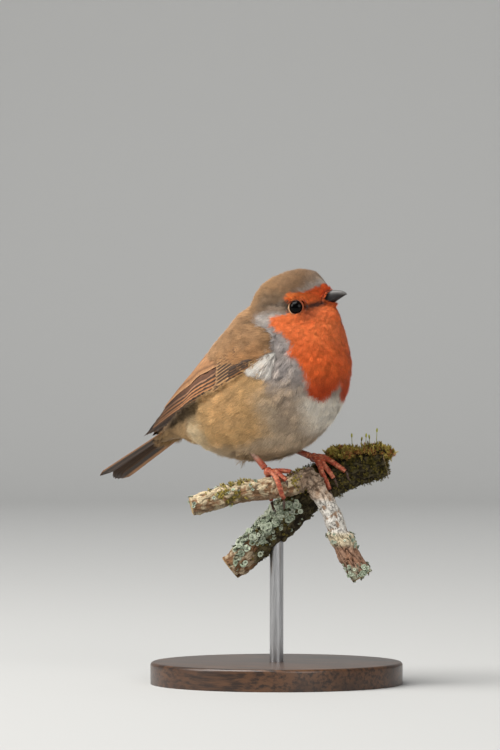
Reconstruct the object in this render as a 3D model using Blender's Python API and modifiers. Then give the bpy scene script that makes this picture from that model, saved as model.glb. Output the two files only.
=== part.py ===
"""A life-size European robin on a cut branch, held by a small display stand.

The bird faces +X, its left side is towards +Y, and +Z is up. The origin is the centre of the
stand's underside. Lengths are in metres, and MM turns millimetres into them.
The body is a few soft masses blended into one form and then parted at the neck, breast and rump.
The wings, tail, legs, bill and eyes are their own solids, let into the body with a thin gap.
"""

import math

import bmesh
import bpy
from mathutils import Matrix, Vector
from mathutils.bvhtree import BVHTree

MM = 0.001
GAP = 0.3 * MM

# Driving sizes. Heights of the bird and branch count from the line its feet stand on.
FEET_HEIGHT = 78 * MM
BASE_RADIUS = 46 * MM
BASE_HEIGHT = 8 * MM
ROD_RADIUS = 2.5 * MM
ROD_TOP = -25 * MM
TAIL_LENGTH = 58.5 * MM
TAIL_SLOPE = math.radians(31)
TAIL_ROLL = math.radians(10)
BRANCH_TURN = math.radians(30)
EYE_RADIUS = 3.3 * MM
TARSUS_RADIUS = 1.05 * MM
TOE_RADIUS = 0.9 * MM
BALL_RADIUS = 1.7 * MM

# The body is rings strung from the vent feathers up into the head. Each ring has the place of its
# top edge (x, z), the place of its under edge (x, z) and its half-width, in mm.
BODY_RINGS = (
    (-53.0, 11.6, -53.6, 9.4, 3.5),
    (-50.0, 13.8, -50.5, 10.0, 6.0),
    (-45.0, 18.2, -45.2, 11.2, 8.0),
    (-39.6, 24.0, -38.5, 11.6, 11.0),
    (-34.5, 30.5, -32.0, 9.3, 15.2),
    (-29.2, 38.0, -25.5, 5.9, 18.8),
    (-23.2, 44.8, -17.0, 3.7, 21.0),
    (-18.4, 50.0, -7.0, 3.2, 22.0),
    (-15.2, 53.8, 3.0, 6.2, 21.8),
    (-13.2, 57.0, 11.8, 11.6, 20.6),
    (-12.0, 59.5, 19.2, 18.7, 18.8),
    (-11.3, 61.3, 24.0, 26.0, 17.2),
    (-10.6, 62.9, 26.1, 33.0, 15.8),
    (-9.7, 64.4, 26.4, 40.0, 14.2),
    (-8.6, 65.4, 25.1, 47.0, 12.4),
    (-7.0, 66.0, 23.8, 52.4, 10.5),
    (-4.5, 66.5, 22.9, 56.2, 7.6),
    (-2.0, 66.5, 21.9, 58.9, 4.6),
    (1.0, 66.0, 20.6, 60.2, 2.6),
    (4.0, 65.4, 18.6, 60.4, 1.6),
)
# The head's rings stand square to the bill's line. Each has its place along that line, its top and
# its under edge above and below the line, and its half-width, in mm, counted from between the eyes.
HEAD_MIDDLE = Vector((10.3, 0, 59.2)) * MM
HEAD_PITCH = math.radians(19)
HEAD_RINGS = (
    (-20.8, 6.0, 0.0, 3.0),
    (-19.6, 9.7, -4.0, 6.0),
    (-15.3, 13.4, -6.0, 9.3),
    (-9.0, 15.1, -7.5, 11.0),
    (-3.5, 15.1, -8.0, 11.2),
    (1.5, 14.2, -8.2, 10.0),
    (5.3, 12.3, -7.4, 6.6),
    (7.6, 9.8, -5.8, 3.4),
    (9.2, 5.8, -4.0, 2.0),
    (10.3, 3.4, -2.8, 1.4),
    (10.9, 2.0, -2.0, 0.9),
)
RING_FULLNESS = 0.88
RING_SIDES = 28
RING_STEPS = 2
FORM_VOXEL = 0.8 * MM
FORM_SMOOTHING = 8
FORM_SHARE = 0.034

# Where the form is parted: a point on the cut and the direction it faces.
HEAD_CUT = (Vector((0, 0, 54.6)) * MM, Vector((0.05, 0, 1)))
BREAST_CUT = (Vector((0, 0, 49.8)) * MM, Vector((0.28, 0, 1)))
RUMP_CUT = (Vector((-29, 0, 22)) * MM, Vector((-0.85, 0, -0.53)))

# Where an eye shows on the side of the head (x, z), and which way it looks.
EYE_POINT = Vector((10.3, 0, 58.9)) * MM
EYE_FACING = Vector((0.26, 0.96, 0.05)).normalized()
EYE_SHOWN = 2.4 * MM

# The bill, from inside the face to its tip, and its girth at the root.
BILL_ROOT = Vector((16.2, 0, 60.7)) * MM
BILL_TIP = Vector((25.7, 0, 64.3)) * MM
BILL_HALF_WIDTH = 3.0 * MM
UPPER_BILL_HEIGHT = 3.3 * MM
LOWER_BILL_HEIGHT = 2.1 * MM

# A wing lies round a line from the shoulder to the wing tips, WING_AXIS long.
WING_START = Vector((10, 0, 38)) * MM
WING_END = Vector((-60, 0, 10)) * MM
COVERTS_END = 31
WING_PROUD = 1.1 * MM
WING_SUNK = 1.3 * MM
WING_EDGE = 0.35 * MM
# (mm along the line, angle in degrees above the side) of the wing's two edges.
WING_LOWER_EDGE = (
    (1.5, 36),
    (2.3, 30),
    (4.6, 20.5),
    (10, 15.5),
    (16, 9.5),
    (26, 7),
    (38, 5),
    (54, 6),
    (63, 0),
    (73, 8),
)
WING_UPPER_EDGE = ((1.5, 42), (6, 52), (17, 64), (25, 72), (40, 80), (50, 83), (60, 83), (73, 70))
# (mm along the line, mm from it) beyond the body, upwards and sideways.
WING_RISE = ((30, 19), (40, 15), (50, 11), (60, 6.5), (70, 2.8), (75, 1.8))
WING_SPREAD = ((30, 18), (40, 14.5), (50, 11), (60, 7.5), (70, 4.8), (75, 3.8))

TAIL_ROOT = Vector((-26, 0, 27)) * MM
TAIL_HALF_THICKNESS = 0.6 * MM
TAIL_FALL = math.radians(6)

# Each leg: where the ankle and the ball of the foot are, with y positive to the bird's left.
RIGHT_ANKLE = Vector((-17, -12.5, 17)) * MM
RIGHT_BALL = Vector((-1.8, -9, -0.6)) * MM
LEFT_ANKLE = Vector((-17, 11, 12)) * MM
LEFT_BALL = Vector((6.9, 9.2, 4.4)) * MM

# Branch stations: (along, away, up, radius) in mm. "Along" runs across the bird's path, turned by
# BRANCH_TURN from its heading, and "away" is square to it, towards the bird's left.
BOUGH = (
    (-20, 6, -36, 4.9),
    (-7.6, 5.6, -25.8, 5.5),
    (2.5, 5.2, -15.5, 6.3),
    (10.5, 5, -6.0, 7.2),
    (18.5, 4.6, -2.6, 6.8),
    (27.5, 4.5, 0.2, 5.9),
    (36.5, 4.5, 2.6, 5.2),
)
BRANCH = (
    (-34, -12, -12.8, 3.6),
    (-25, -11, -10.4, 3.9),
    (-14.6, -9.3, -7.5, 4.0),
    (-6.3, -7.9, -6.7, 4.0),
    (2.5, -6.2, -5.4, 4.0),
    (8.6, -5.6, -3.0, 4.3),
    (12.4, -7.2, -8.4, 3.4),
    (16.7, -8.4, -15.4, 3.5),
    (19.2, -8.8, -22.3, 3.7),
    (23, -9.8, -30.2, 4.0),
    (27.8, -10.8, -38.3, 4.1),
)
MOSS = (
    (15.5, 3.8, 4.0, 1.6),
    (18, 3.4, 4.6, 2.8),
    (22, 3.0, 4.4, 3.5),
    (27, 3.2, 4.8, 3.3),
    (31, 2.8, 4.8, 3.7),
    (36, 3.2, 5.4, 3.0),
    (39.5, 3.6, 5.4, 1.8),
)

# Each toe: how far it turns round the branch in degrees, how far it slides along it in mm, how
# high it arches in mm, then how far the claw turns further and stands off.
RIGHT_TOES = {
    "inner": (34, 9.0, 0.4, 28, 0.2),
    "middle": (146, 3.2, 0.3, 50, 2.6),
    "outer": (72, 4.8, 0.5, 26, 0.2),
    "hind": (-135, 0.3, 0.2, -58, 3.0),
}
LEFT_TOES = {
    "inner": (112, 1.7, 0.4, 26, 0.2),
    "middle": (88, 4.2, 0.5, 26, 0.2),
    "outer": (80, 8.8, 0.8, 30, 0.4),
    "hind": (-84, 0.5, 0.4, -30, 0.2),
}

COLOURS = {
    "orange_plumage": ((0.62, 0.13, 0.025), 0.85, 0.0),
    "brown_plumage": ((0.22, 0.13, 0.06), 0.85, 0.0),
    "buff_plumage": ((0.42, 0.31, 0.17), 0.85, 0.0),
    "wing_feather": ((0.19, 0.11, 0.05), 0.7, 0.0),
    "tail_feather": ((0.15, 0.09, 0.045), 0.7, 0.0),
    "bill": ((0.05, 0.045, 0.045), 0.35, 0.0),
    "eye": ((0.01, 0.007, 0.006), 0.05, 0.0),
    "leg": ((0.42, 0.2, 0.13), 0.5, 0.0),
    "claw": ((0.06, 0.035, 0.025), 0.35, 0.0),
    "bark": ((0.3, 0.24, 0.18), 0.9, 0.0),
    "moss": ((0.1, 0.12, 0.02), 0.95, 0.0),
    "stand_wood": ((0.06, 0.035, 0.02), 0.4, 0.0),
    "stand_steel": ((0.55, 0.55, 0.56), 0.3, 1.0),
}


def clear_scene():
    for obj in list(bpy.data.objects):
        bpy.data.objects.remove(obj)


def make_materials():
    made = {}
    for name, (colour, roughness, metallic) in COLOURS.items():
        material = bpy.data.materials.new(name)
        material.use_nodes = True
        shader = material.node_tree.nodes["Principled BSDF"]
        shader.inputs["Base Color"].default_value = (*colour, 1)
        shader.inputs["Roughness"].default_value = roughness
        shader.inputs["Metallic"].default_value = metallic
        made[name] = material
    return made


def make_collection(name):
    collection = bpy.data.collections.new(name)
    bpy.context.scene.collection.children.link(collection)
    return collection


# Where the rod stands below the bough, in the bird's coordinates.
ROD_PLACE = Matrix.Rotation(BRANCH_TURN, 3, "Z") @ (Vector((-3, 5.2, 0)) * MM)


class Workshop:
    """The collections, materials and parent that every piece goes to."""

    def __init__(self):
        self.materials = make_materials()
        self.parts = make_collection("robin")
        self.helpers = make_collection("helpers")
        self.feet_line = bpy.data.objects.new("feet_line", None)
        self.feet_line.location = Vector((0, 0, FEET_HEIGHT)) - ROD_PLACE
        self.parts.objects.link(self.feet_line)

    def part(self, name, mesh, material, smooth=True):
        """A visible piece, placed in the bird's own coordinates."""
        piece = bpy.data.objects.new(name, mesh)
        piece.data.materials.clear()
        piece.data.materials.append(self.materials[material])
        self.parts.objects.link(piece)
        piece.parent = self.feet_line
        if smooth and piece.type == "MESH":
            mesh.shade_smooth()
            mesh.set_sharp_from_angle(angle=math.radians(50))
        return piece

    def helper(self, name, mesh):
        """A cutter or a guide, which never shows."""
        piece = bpy.data.objects.new(name, mesh)
        self.helpers.objects.link(piece)
        piece.hide_render = True
        piece.display_type = "WIRE"
        piece.parent = self.feet_line
        return piece


def evaluated_mesh(obj):
    """A new mesh of the object with its modifiers applied, in its own coordinates."""
    bpy.context.view_layer.update()
    graph = bpy.context.evaluated_depsgraph_get()
    return bpy.data.meshes.new_from_object(obj.evaluated_get(graph))


def mesh_of_curve(curve):
    """A closed mesh of a curve whose caps are loose."""
    guide = bpy.data.objects.new("guide", curve)
    bpy.context.scene.collection.objects.link(guide)
    mesh = evaluated_mesh(guide)
    bpy.data.objects.remove(guide)
    shape = bmesh.new()
    shape.from_mesh(mesh)
    bmesh.ops.remove_doubles(shape, verts=shape.verts, dist=0.002 * MM)
    bmesh.ops.recalc_face_normals(shape, faces=shape.faces)
    shape.to_mesh(mesh)
    shape.free()
    return mesh


def tube(points, radii, sides_level=2):
    """A round closed tube through the points, with its own radius at each."""
    curve = bpy.data.curves.new("tube", "CURVE")
    curve.dimensions = "3D"
    curve.bevel_depth = 1.0
    curve.bevel_resolution = sides_level
    curve.use_fill_caps = True
    line = curve.splines.new("POLY")
    line.points.add(len(points) - 1)
    for spot, place, radius in zip(line.points, points, radii):
        spot.co = (*place, 1)
        spot.radius = radius
    return mesh_of_curve(curve)


def between(stations, at):
    """The value at a place along (place, value) stations, eased through them."""
    places = [place for place, value in stations]
    values = [value for place, value in stations]
    if at <= places[0]:
        return values[0]
    if at >= places[-1]:
        return values[-1]
    i = max(k for k in range(len(places) - 1) if places[k] <= at)
    share = (at - places[i]) / (places[i + 1] - places[i])
    before = values[max(i - 1, 0)]
    after = values[min(i + 2, len(values) - 1)]
    return spline(before, values[i], values[i + 1], after, share)


def spline(before, start, end, after, share):
    """One span of a Catmull-Rom curve, for numbers or vectors."""
    bend = 2 * before - 5 * start + 4 * end - after
    twist = 3 * start - before - 3 * end + after
    return 0.5 * (2 * start + (end - before) * share + bend * share**2 + twist * share**3)


def smooth_route(stations, steps):
    """(points, radii) in metres on a curve through (along, away, up, radius) stations."""
    route = []
    last = len(stations) - 1
    rows = [Vector(row) for row in stations]
    for i in range(last):
        before = rows[max(i - 1, 0)]
        after = rows[min(i + 2, last)]
        for k in range(steps):
            route.append(spline(before, rows[i], rows[i + 1], after, k / steps))
    route.append(rows[last])
    points = [branch_place(row[0], row[1], row[2]) for row in route]
    return points, [row[3] * MM for row in route]


def branch_place(along, away, up):
    """A place given across the bird's path, in the bird's coordinates."""
    turn = Matrix.Rotation(BRANCH_TURN, 4, "Z")
    return turn @ (Vector((along, away, up)) * MM)


def boolean(obj, operation, other):
    modifier = obj.modifiers.new(operation.lower(), "BOOLEAN")
    modifier.operation = operation
    modifier.object = other
    modifier.solver = "EXACT"


# The body


def strung_rings(shape, rows):
    """A closed skin over rings of (top, under, half-width), which lie square to the middle plane."""
    last = len(rows) - 1
    strung = []
    for i in range(last):
        before, after = rows[max(i - 1, 0)], rows[min(i + 2, last)]
        for k in range(RING_STEPS):
            strung.append(spline(before, rows[i], rows[i + 1], after, k / RING_STEPS))
    strung.append(rows[last])
    rings = []
    for top_x, top_z, under_x, under_z, half_width in strung:
        top, under = Vector((top_x, 0, top_z)), Vector((under_x, 0, under_z))
        centre, upwards = (top + under) / 2, (top - under) / 2
        ring = []
        for k in range(RING_SIDES):
            turn = 2 * math.pi * k / RING_SIDES
            place = centre + upwards * math.cos(turn)
            across = math.sin(turn)
            place.y = half_width * math.copysign(abs(across) ** RING_FULLNESS, across)
            ring.append(shape.verts.new(place * MM))
        rings.append(ring)
    made = []
    for first, second in zip(rings, rings[1:]):
        for k in range(RING_SIDES):
            after = (k + 1) % RING_SIDES
            made.append(shape.faces.new((first[k], first[after], second[after], second[k])))
    made.append(shape.faces.new(rings[0]))
    made.append(shape.faces.new(rings[-1]))
    bmesh.ops.recalc_face_normals(shape, faces=made)


def head_rows():
    """The head's rings as the same kind of row as the body's."""
    rows = []
    middle = HEAD_MIDDLE / MM
    forwards = Vector((math.cos(HEAD_PITCH), 0, math.sin(HEAD_PITCH)))
    upwards = Vector((-math.sin(HEAD_PITCH), 0, math.cos(HEAD_PITCH)))
    for along, top, under, half_width in HEAD_RINGS:
        high = middle + forwards * along + upwards * top
        low = middle + forwards * along + upwards * under
        rows.append(Vector((high.x, high.z, low.x, low.z, half_width)))
    return rows


def body_form(shop):
    """The body and the head blended into one smooth form, the same on both sides."""
    mesh = bpy.data.meshes.new("form")
    shape = bmesh.new()
    strung_rings(shape, [Vector(row) for row in BODY_RINGS])
    strung_rings(shape, head_rows())
    shape.to_mesh(mesh)
    shape.free()
    form = shop.helper("form", mesh)
    remesh = form.modifiers.new("blend", "REMESH")
    remesh.mode = "VOXEL"
    remesh.voxel_size = FORM_VOXEL
    soften = form.modifiers.new("soften", "SMOOTH")
    soften.factor = 0.5
    soften.iterations = FORM_SMOOTHING
    thin_out = form.modifiers.new("thin_out", "DECIMATE")
    thin_out.ratio = FORM_SHARE
    made = evaluated_mesh(form)
    bpy.data.objects.remove(form)
    shape = bmesh.new()
    shape.from_mesh(made)
    geometry = shape.verts[:] + shape.edges[:] + shape.faces[:]
    bmesh.ops.symmetrize(shape, input=geometry, direction="Y", dist=0.05 * MM)
    bmesh.ops.recalc_face_normals(shape, faces=shape.faces)
    shape.to_mesh(made)
    shape.free()
    return made


def sliced(mesh, cuts):
    """A copy of the mesh with only what lies behind every cut, closed again at each."""
    piece = mesh.copy()
    shape = bmesh.new()
    shape.from_mesh(piece)
    for point, facing in cuts:
        geometry = shape.verts[:] + shape.edges[:] + shape.faces[:]
        bmesh.ops.bisect_plane(
            shape, geom=geometry, dist=0.001 * MM, plane_co=point, plane_no=facing, clear_outer=True
        )
        rim = [edge for edge in shape.edges if edge.is_boundary]
        lids = bmesh.ops.edgenet_fill(shape, edges=rim)["faces"]
        bmesh.ops.triangulate(shape, faces=lids)
    bmesh.ops.recalc_face_normals(shape, faces=shape.faces)
    shape.to_mesh(piece)
    shape.free()
    return piece


def both_sides(cut):
    """The two faces of a cut, half a gap to either side of it: (front side kept, back side kept)."""
    point, facing = cut
    facing = facing.normalized()
    return (point + facing * GAP / 2, -facing), (point - facing * GAP / 2, facing)


def make_body(shop, form, cutters):
    """The form with room made for what is let into it, parted into its named pieces."""
    whole = shop.helper("whole", form.copy())
    for cutter in cutters:
        boolean(whole, "DIFFERENCE", cutter)
    body = evaluated_mesh(whole)
    bpy.data.objects.remove(whole)
    above_head, below_head = both_sides(HEAD_CUT)
    above_breast, below_breast = both_sides(BREAST_CUT)
    behind_rump, before_rump = both_sides(RUMP_CUT)
    shop.part("head", sliced(body, [above_head]), "brown_plumage")
    shop.part("neck", sliced(body, [below_head, above_breast]), "orange_plumage")
    shop.part("trunk", sliced(body, [below_breast, before_rump]), "buff_plumage")
    shop.part("rump", sliced(body, [below_breast, behind_rump]), "buff_plumage")


# The head's pieces


def eye_ball(form_tree, side, grow=0.0):
    """A ball let into the side of the head, so that a cap of it EYE_SHOWN in radius shows."""
    facing = Vector((EYE_FACING.x, EYE_FACING.y * side, EYE_FACING.z))
    shown = form_tree.ray_cast(EYE_POINT + Vector((0, 30 * MM * side, 0)), Vector((0, -side, 0)))[0]
    depth = math.sqrt(EYE_RADIUS**2 - EYE_SHOWN**2)
    mesh = bpy.data.meshes.new("eye")
    shape = bmesh.new()
    bmesh.ops.create_uvsphere(
        shape,
        u_segments=14,
        v_segments=8,
        radius=EYE_RADIUS + grow,
        matrix=Matrix.Translation(shown - facing * depth),
    )
    shape.to_mesh(mesh)
    shape.free()
    return mesh


def bill_half(upper, grow=0.0):
    """One mandible: half-round sections along the bill, flat where the two meet."""
    line = BILL_TIP - BILL_ROOT
    sideways = Vector((0, 1, 0))
    upwards = line.cross(sideways).normalized()
    if upwards.z < 0:
        upwards = -upwards
    way = 1 if upper else -1
    high = UPPER_BILL_HEIGHT if upper else LOWER_BILL_HEIGHT
    fullness = 0.62 if upper else 0.75
    sections, arc_steps = 10, 8
    mesh = bpy.data.meshes.new("bill")
    shape = bmesh.new()
    rings = []
    for i in range(sections):
        share = i / (sections - 1)
        reach = share * (1.0 if upper else 0.94) - (grow / line.length) * (1 - 2 * share)
        left = max(1 - reach, 0)
        width = BILL_HALF_WIDTH * (left**0.8 * 0.92 + 0.08) + grow
        rise = high * (left**fullness * 0.92 + 0.08) + 2 * grow
        droop = -0.45 * MM * (max(reach - 0.7, 0) / 0.3) ** 2
        middle = BILL_ROOT + line * reach + upwards * (way * (GAP / 2 - grow) + droop)
        ring = []
        for k in range(arc_steps + 1):
            turn = math.pi * k / arc_steps
            out = sideways * math.cos(turn) * width + upwards * math.sin(turn) * way * rise
            ring.append(shape.verts.new(middle + out))
        rings.append(ring)
    for first, second in zip(rings, rings[1:]):
        for k in range(arc_steps + 1):
            after = (k + 1) % (arc_steps + 1)
            shape.faces.new((first[k], first[after], second[after], second[k]))
    shape.faces.new(rings[0])
    shape.faces.new(rings[-1])
    bmesh.ops.recalc_face_normals(shape, faces=shape.faces)
    bmesh.ops.triangulate(shape, faces=shape.faces)
    shape.to_mesh(mesh)
    shape.free()
    return mesh


def make_head_pieces(shop, form_tree):
    """The bill and the eyes. Returns the cutters for the head."""
    shop.part("bill_upper", bill_half(True), "bill")
    shop.part("bill_lower", bill_half(False), "bill")
    cutters = [shop.helper(f"room_for_bill_{k}", bill_half(bool(k), GAP)) for k in (0, 1)]
    for side, name in ((1, "left"), (-1, "right")):
        shop.part(f"eye_{name}", eye_ball(form_tree, side), "eye")
        cutters.append(shop.helper(f"room_for_eye_{name}", eye_ball(form_tree, side, GAP)))
    return cutters


# The wings


def wing_ring(form_tree, at, side, grow):
    """One closed section of a wing: over its outer face from the lower edge, and back inside."""
    line = (WING_END - WING_START).normalized()
    upwards = Vector((0, 1, 0)).cross(line)
    if upwards.z < 0:
        upwards = -upwards
    sideways = Vector((0, side, 0))
    centre = WING_START + line * (at * MM)
    low = math.radians(between(WING_LOWER_EDGE, at))
    high = math.radians(between(WING_UPPER_EDGE, at))
    rise = between(WING_RISE, at) * MM
    spread = between(WING_SPREAD, at) * MM
    slack = grow / max(rise, spread)
    low, high = low - slack, high + slack
    steps = 8
    outer, inner = [], []
    for k in range(steps + 1):
        share = k / steps
        turn = low + (high - low) * share
        reach = upwards * (rise * math.sin(turn)) + sideways * (spread * math.cos(turn))
        direction = reach.normalized()
        distance = reach.length if at > WING_RISE[0][0] else 0.0
        hit = form_tree.ray_cast(centre, direction)
        if hit[0] is not None:
            distance = max(distance, hit[3])
        swell = math.sqrt(max(math.sin(math.pi * share), 0.0))
        thin = min(1.0, max(0.35, (78 - at) / 45))
        proud = (WING_EDGE + (WING_PROUD - WING_EDGE) * swell) * thin + grow
        sunk = (WING_EDGE + (WING_SUNK - WING_EDGE) * swell) * thin + grow
        outer.append(centre + direction * (distance + proud))
        inner.append(centre + direction * (distance - sunk))
    return outer + inner[::-1]


def wing_piece(form_tree, side, start, end, grow=0.0):
    """A stretch of a wing, from start to end along its line, in mm."""
    count = max(3, round((end - start) / 3.5))
    mesh = bpy.data.meshes.new("wing")
    shape = bmesh.new()
    rings = []
    for i in range(count + 1):
        at = start + (end - start) * i / count
        ring = [shape.verts.new(place) for place in wing_ring(form_tree, at, side, grow)]
        rings.append(ring)
    for first, second in zip(rings, rings[1:]):
        for k in range(len(first)):
            after = (k + 1) % len(first)
            shape.faces.new((first[k], first[after], second[after], second[k]))
    shape.faces.new(rings[0])
    shape.faces.new(rings[-1])
    bmesh.ops.triangulate(shape, faces=shape.faces)
    bmesh.ops.recalc_face_normals(shape, faces=shape.faces)
    shape.to_mesh(mesh)
    shape.free()
    return mesh


def make_wings(shop, form_tree):
    """The coverts and the long quills of each wing. Returns the cutters for the body."""
    wing_from, wing_to = WING_LOWER_EDGE[0][0], WING_LOWER_EDGE[-1][0]
    half_gap = GAP / MM / 2
    cutters = []
    for side, name in ((-1, "right"), (1, "left")):
        coverts = wing_piece(form_tree, side, wing_from, COVERTS_END - half_gap)
        quills = wing_piece(form_tree, side, COVERTS_END + half_gap, wing_to)
        shop.part(f"wing_{name}_coverts", coverts, "wing_feather")
        shop.part(f"wing_{name}_quills", quills, "wing_feather")
        room = wing_piece(form_tree, side, wing_from - 0.3, wing_to, GAP)
        cutters.append(shop.helper(f"room_for_wing_{name}", room))
    return cutters


# The tail


def tail_matrix():
    """The tail's own frame: x runs back along it, y to the bird's left, z out of its upper side."""
    back = Vector((-math.cos(TAIL_SLOPE), 0, -math.sin(TAIL_SLOPE)))
    left = Vector((0, 1, 0))
    over = back.cross(left)
    if over.z < 0:
        over = -over
    rolled_left = left * math.cos(TAIL_ROLL) - over * math.sin(TAIL_ROLL)
    rolled_over = over * math.cos(TAIL_ROLL) + left * math.sin(TAIL_ROLL)
    frame = Matrix((back, rolled_left, rolled_over)).transposed().to_4x4()
    frame.translation = TAIL_ROOT
    return frame


def tail_half(side, grow=0.0):
    """Six feathers of the tail as one plate, rounded at the end and falling a little outwards."""
    start, notch = 12 * MM, TAIL_LENGTH - 3.2 * MM
    inner = GAP / 2 - grow
    outline = [
        (start - grow, inner),
        (start - grow, 4.0 * MM + grow),
        (30 * MM, 6.3 * MM + grow),
        (TAIL_LENGTH - 7 * MM, 7.5 * MM + grow),
        (TAIL_LENGTH - 2.5 * MM, 7.4 * MM + grow),
        (TAIL_LENGTH - 0.4 * MM, 6.0 * MM + grow),
        (TAIL_LENGTH, 4.6 * MM + grow),
        (TAIL_LENGTH - 0.8 * MM, 3.0 * MM),
        (notch, inner),
    ]
    mesh = bpy.data.meshes.new("tail")
    shape = bmesh.new()
    half = TAIL_HALF_THICKNESS + grow
    fall = math.tan(TAIL_FALL)
    floor = [shape.verts.new((x, y * side, -half - y * fall)) for x, y in outline]
    plate = shape.faces.new(floor)
    lifted = bmesh.ops.extrude_face_region(shape, geom=[plate])["geom"]
    raised = [item for item in lifted if isinstance(item, bmesh.types.BMVert)]
    bmesh.ops.translate(shape, verts=raised, vec=(0, 0, 2 * half))
    bmesh.ops.triangulate(shape, faces=shape.faces)
    shape.transform(tail_matrix())
    bmesh.ops.recalc_face_normals(shape, faces=shape.faces)
    shape.to_mesh(mesh)
    shape.free()
    return mesh


def make_tail(shop):
    shop.part("tail_left", tail_half(1), "tail_feather", smooth=False)
    shop.part("tail_right", tail_half(-1), "tail_feather", smooth=False)
    return [shop.helper(f"room_for_tail_{k}", tail_half(k, GAP)) for k in (1, -1)]


# Legs and feet


class Grip:
    """How a foot lies on a branch: the branch's line and radius below the ball of the foot."""

    def __init__(self, stations, ball):
        points, radii = smooth_route(stations, 24)
        nearest = min(range(1, len(points) - 1), key=lambda i: (points[i] - ball).length)
        self.ball = ball
        self.points = points
        self.radii = radii
        self.nearest = nearest

    def place(self, turn, slide, lift):
        """A point round the branch: turn from the ball, slide along, lift off the bark."""
        i = self.nearest
        target = slide
        step = 1 if slide >= 0 else -1
        while 1 < i < len(self.points) - 2 and target * step > 0:
            target -= step * (self.points[i + step] - self.points[i]).length
            i += step
        centre, radius = self.points[i], self.radii[i]
        line = (self.points[i + 1] - self.points[i - 1]).normalized()
        offset = self.ball - self.points[self.nearest]
        up = (offset - line * offset.dot(line)).normalized()
        front = up.cross(line)
        if front.dot(branch_place(0, -1, 0)) < 0:
            front = -front
        out = up * math.cos(turn) + front * math.sin(turn)
        return centre + out * (radius + lift)


def toe_points(grip, toe):
    """(toe points, claw points) of one toe, wrapped round the branch."""
    turn, slide, arch, claw_turn, claw_off = toe
    clear = GAP + 1.15 * TOE_RADIUS
    high = (grip.ball - grip.points[grip.nearest]).length - grip.radii[grip.nearest]
    steps = 7
    points = [grip.ball]
    for k in range(1, steps + 1):
        share = k / steps
        settle = (1 - share) ** 2
        lift = clear + (high - clear) * settle + arch * MM * math.sin(math.pi * share)
        points.append(grip.place(math.radians(turn) * share, slide * MM * share, max(lift, clear)))
    claw = []
    claw_steps = 5
    for k in range(claw_steps + 1):
        share = k / claw_steps
        further = math.radians(turn + claw_turn * share)
        hang = clear + claw_off * MM * math.sin(math.pi * 0.5 * share)
        knuckle = 0.5 * MM * math.sin(math.pi * share)
        claw.append(grip.place(further, slide * MM * (1 + 0.05 * share), hang + knuckle))
    return points, claw


def shortened(points, by):
    """The same line with its first stretch left out."""
    left = by
    while len(points) > 2 and (points[1] - points[0]).length < left:
        left -= (points[1] - points[0]).length
        points = points[1:]
    start = points[0] + (points[1] - points[0]).normalized() * left
    return [start, *[point for point in points[1:] if (point - start).length > by / 2]]


def make_foot(shop, name, ball, stations, toes):
    """Four toes joined at the ball of the foot, and their claws."""
    grip = Grip(stations, ball)
    mesh = bpy.data.meshes.new("ball")
    shape = bmesh.new()
    bmesh.ops.create_uvsphere(
        shape, u_segments=10, v_segments=6, radius=BALL_RADIUS, matrix=Matrix.Translation(ball)
    )
    shape.to_mesh(mesh)
    shape.free()
    foot = shop.helper(f"ball_{name}", mesh)
    helpers, rooms = [], []
    for toe_name, toe in toes.items():
        points, claw = toe_points(grip, toe)
        last = len(points) - 1
        radii = [TOE_RADIUS * (1.2 - 0.35 * k / last) for k in range(last + 1)]
        toe_tube = tube(points, radii, sides_level=1)
        helpers.append(shop.helper(f"toe_{name}_{toe_name}", toe_tube))
        wide = [radius + GAP for radius in radii]
        rooms.append(shop.helper(f"room_for_toe_{name}_{toe_name}", tube(points, wide)))
        boolean(foot, "UNION", helpers[-1])
        claw = shortened(claw, 2 * GAP)
        count = len(claw) - 1
        sharp = [0.5 * MM * (1 - k / count) ** 0.8 + 0.16 * MM for k in range(count + 1)]
        shop.part(f"claw_{name}_{toe_name}", tube(claw, sharp, sides_level=1), "claw")
        wide = [radius + GAP for radius in sharp]
        rooms.append(shop.helper(f"room_for_claw_{name}_{toe_name}", tube(claw, wide)))
    joined = evaluated_mesh(foot)
    for helper in (foot, *helpers):
        bpy.data.objects.remove(helper)
    shop.part(f"foot_{name}", joined, "leg")
    return rooms


def tarsus(ankle, ball, grow=0.0):
    """The bare shank, from inside the belly's feathers down to the ball of the foot."""
    line = (ball - ankle).normalized()
    end = ball - line * (BALL_RADIUS + GAP - grow)
    start = ankle - line * grow
    points = [start.lerp(end, k / 5) for k in range(6)]
    girth = (1.25, 1.0, 0.92, 0.92, 1.0, 1.15)
    return tube(points, [TARSUS_RADIUS * share + grow for share in girth])


def make_legs(shop):
    """Both legs. Returns the cutters for the body, and those for the moss round the left foot."""
    cutters = []
    legs = (
        ("right", RIGHT_ANKLE, RIGHT_BALL, BRANCH, RIGHT_TOES),
        ("left", LEFT_ANKLE, LEFT_BALL, BOUGH, LEFT_TOES),
    )
    for name, ankle, ball, stations, toes in legs:
        shop.part(f"tarsus_{name}", tarsus(ankle, ball), "leg")
        cutters.append(shop.helper(f"room_for_leg_{name}", tarsus(ankle, ball, GAP)))
        rooms = make_foot(shop, name, ball, stations, toes)
    return cutters, rooms


# The perch and its stand


def rod(grow=0.0):
    mesh = bpy.data.meshes.new("rod")
    shape = bmesh.new()
    bottom = BASE_HEIGHT * 0.5 - FEET_HEIGHT - grow
    top = ROD_TOP + grow
    middle = Matrix.Translation(ROD_PLACE + Vector((0, 0, (top + bottom) / 2)))
    bmesh.ops.create_cone(
        shape,
        cap_ends=True,
        segments=24,
        radius1=ROD_RADIUS + grow,
        radius2=ROD_RADIUS + grow,
        depth=top - bottom,
        matrix=middle,
    )
    shape.to_mesh(mesh)
    shape.free()
    return mesh


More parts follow.
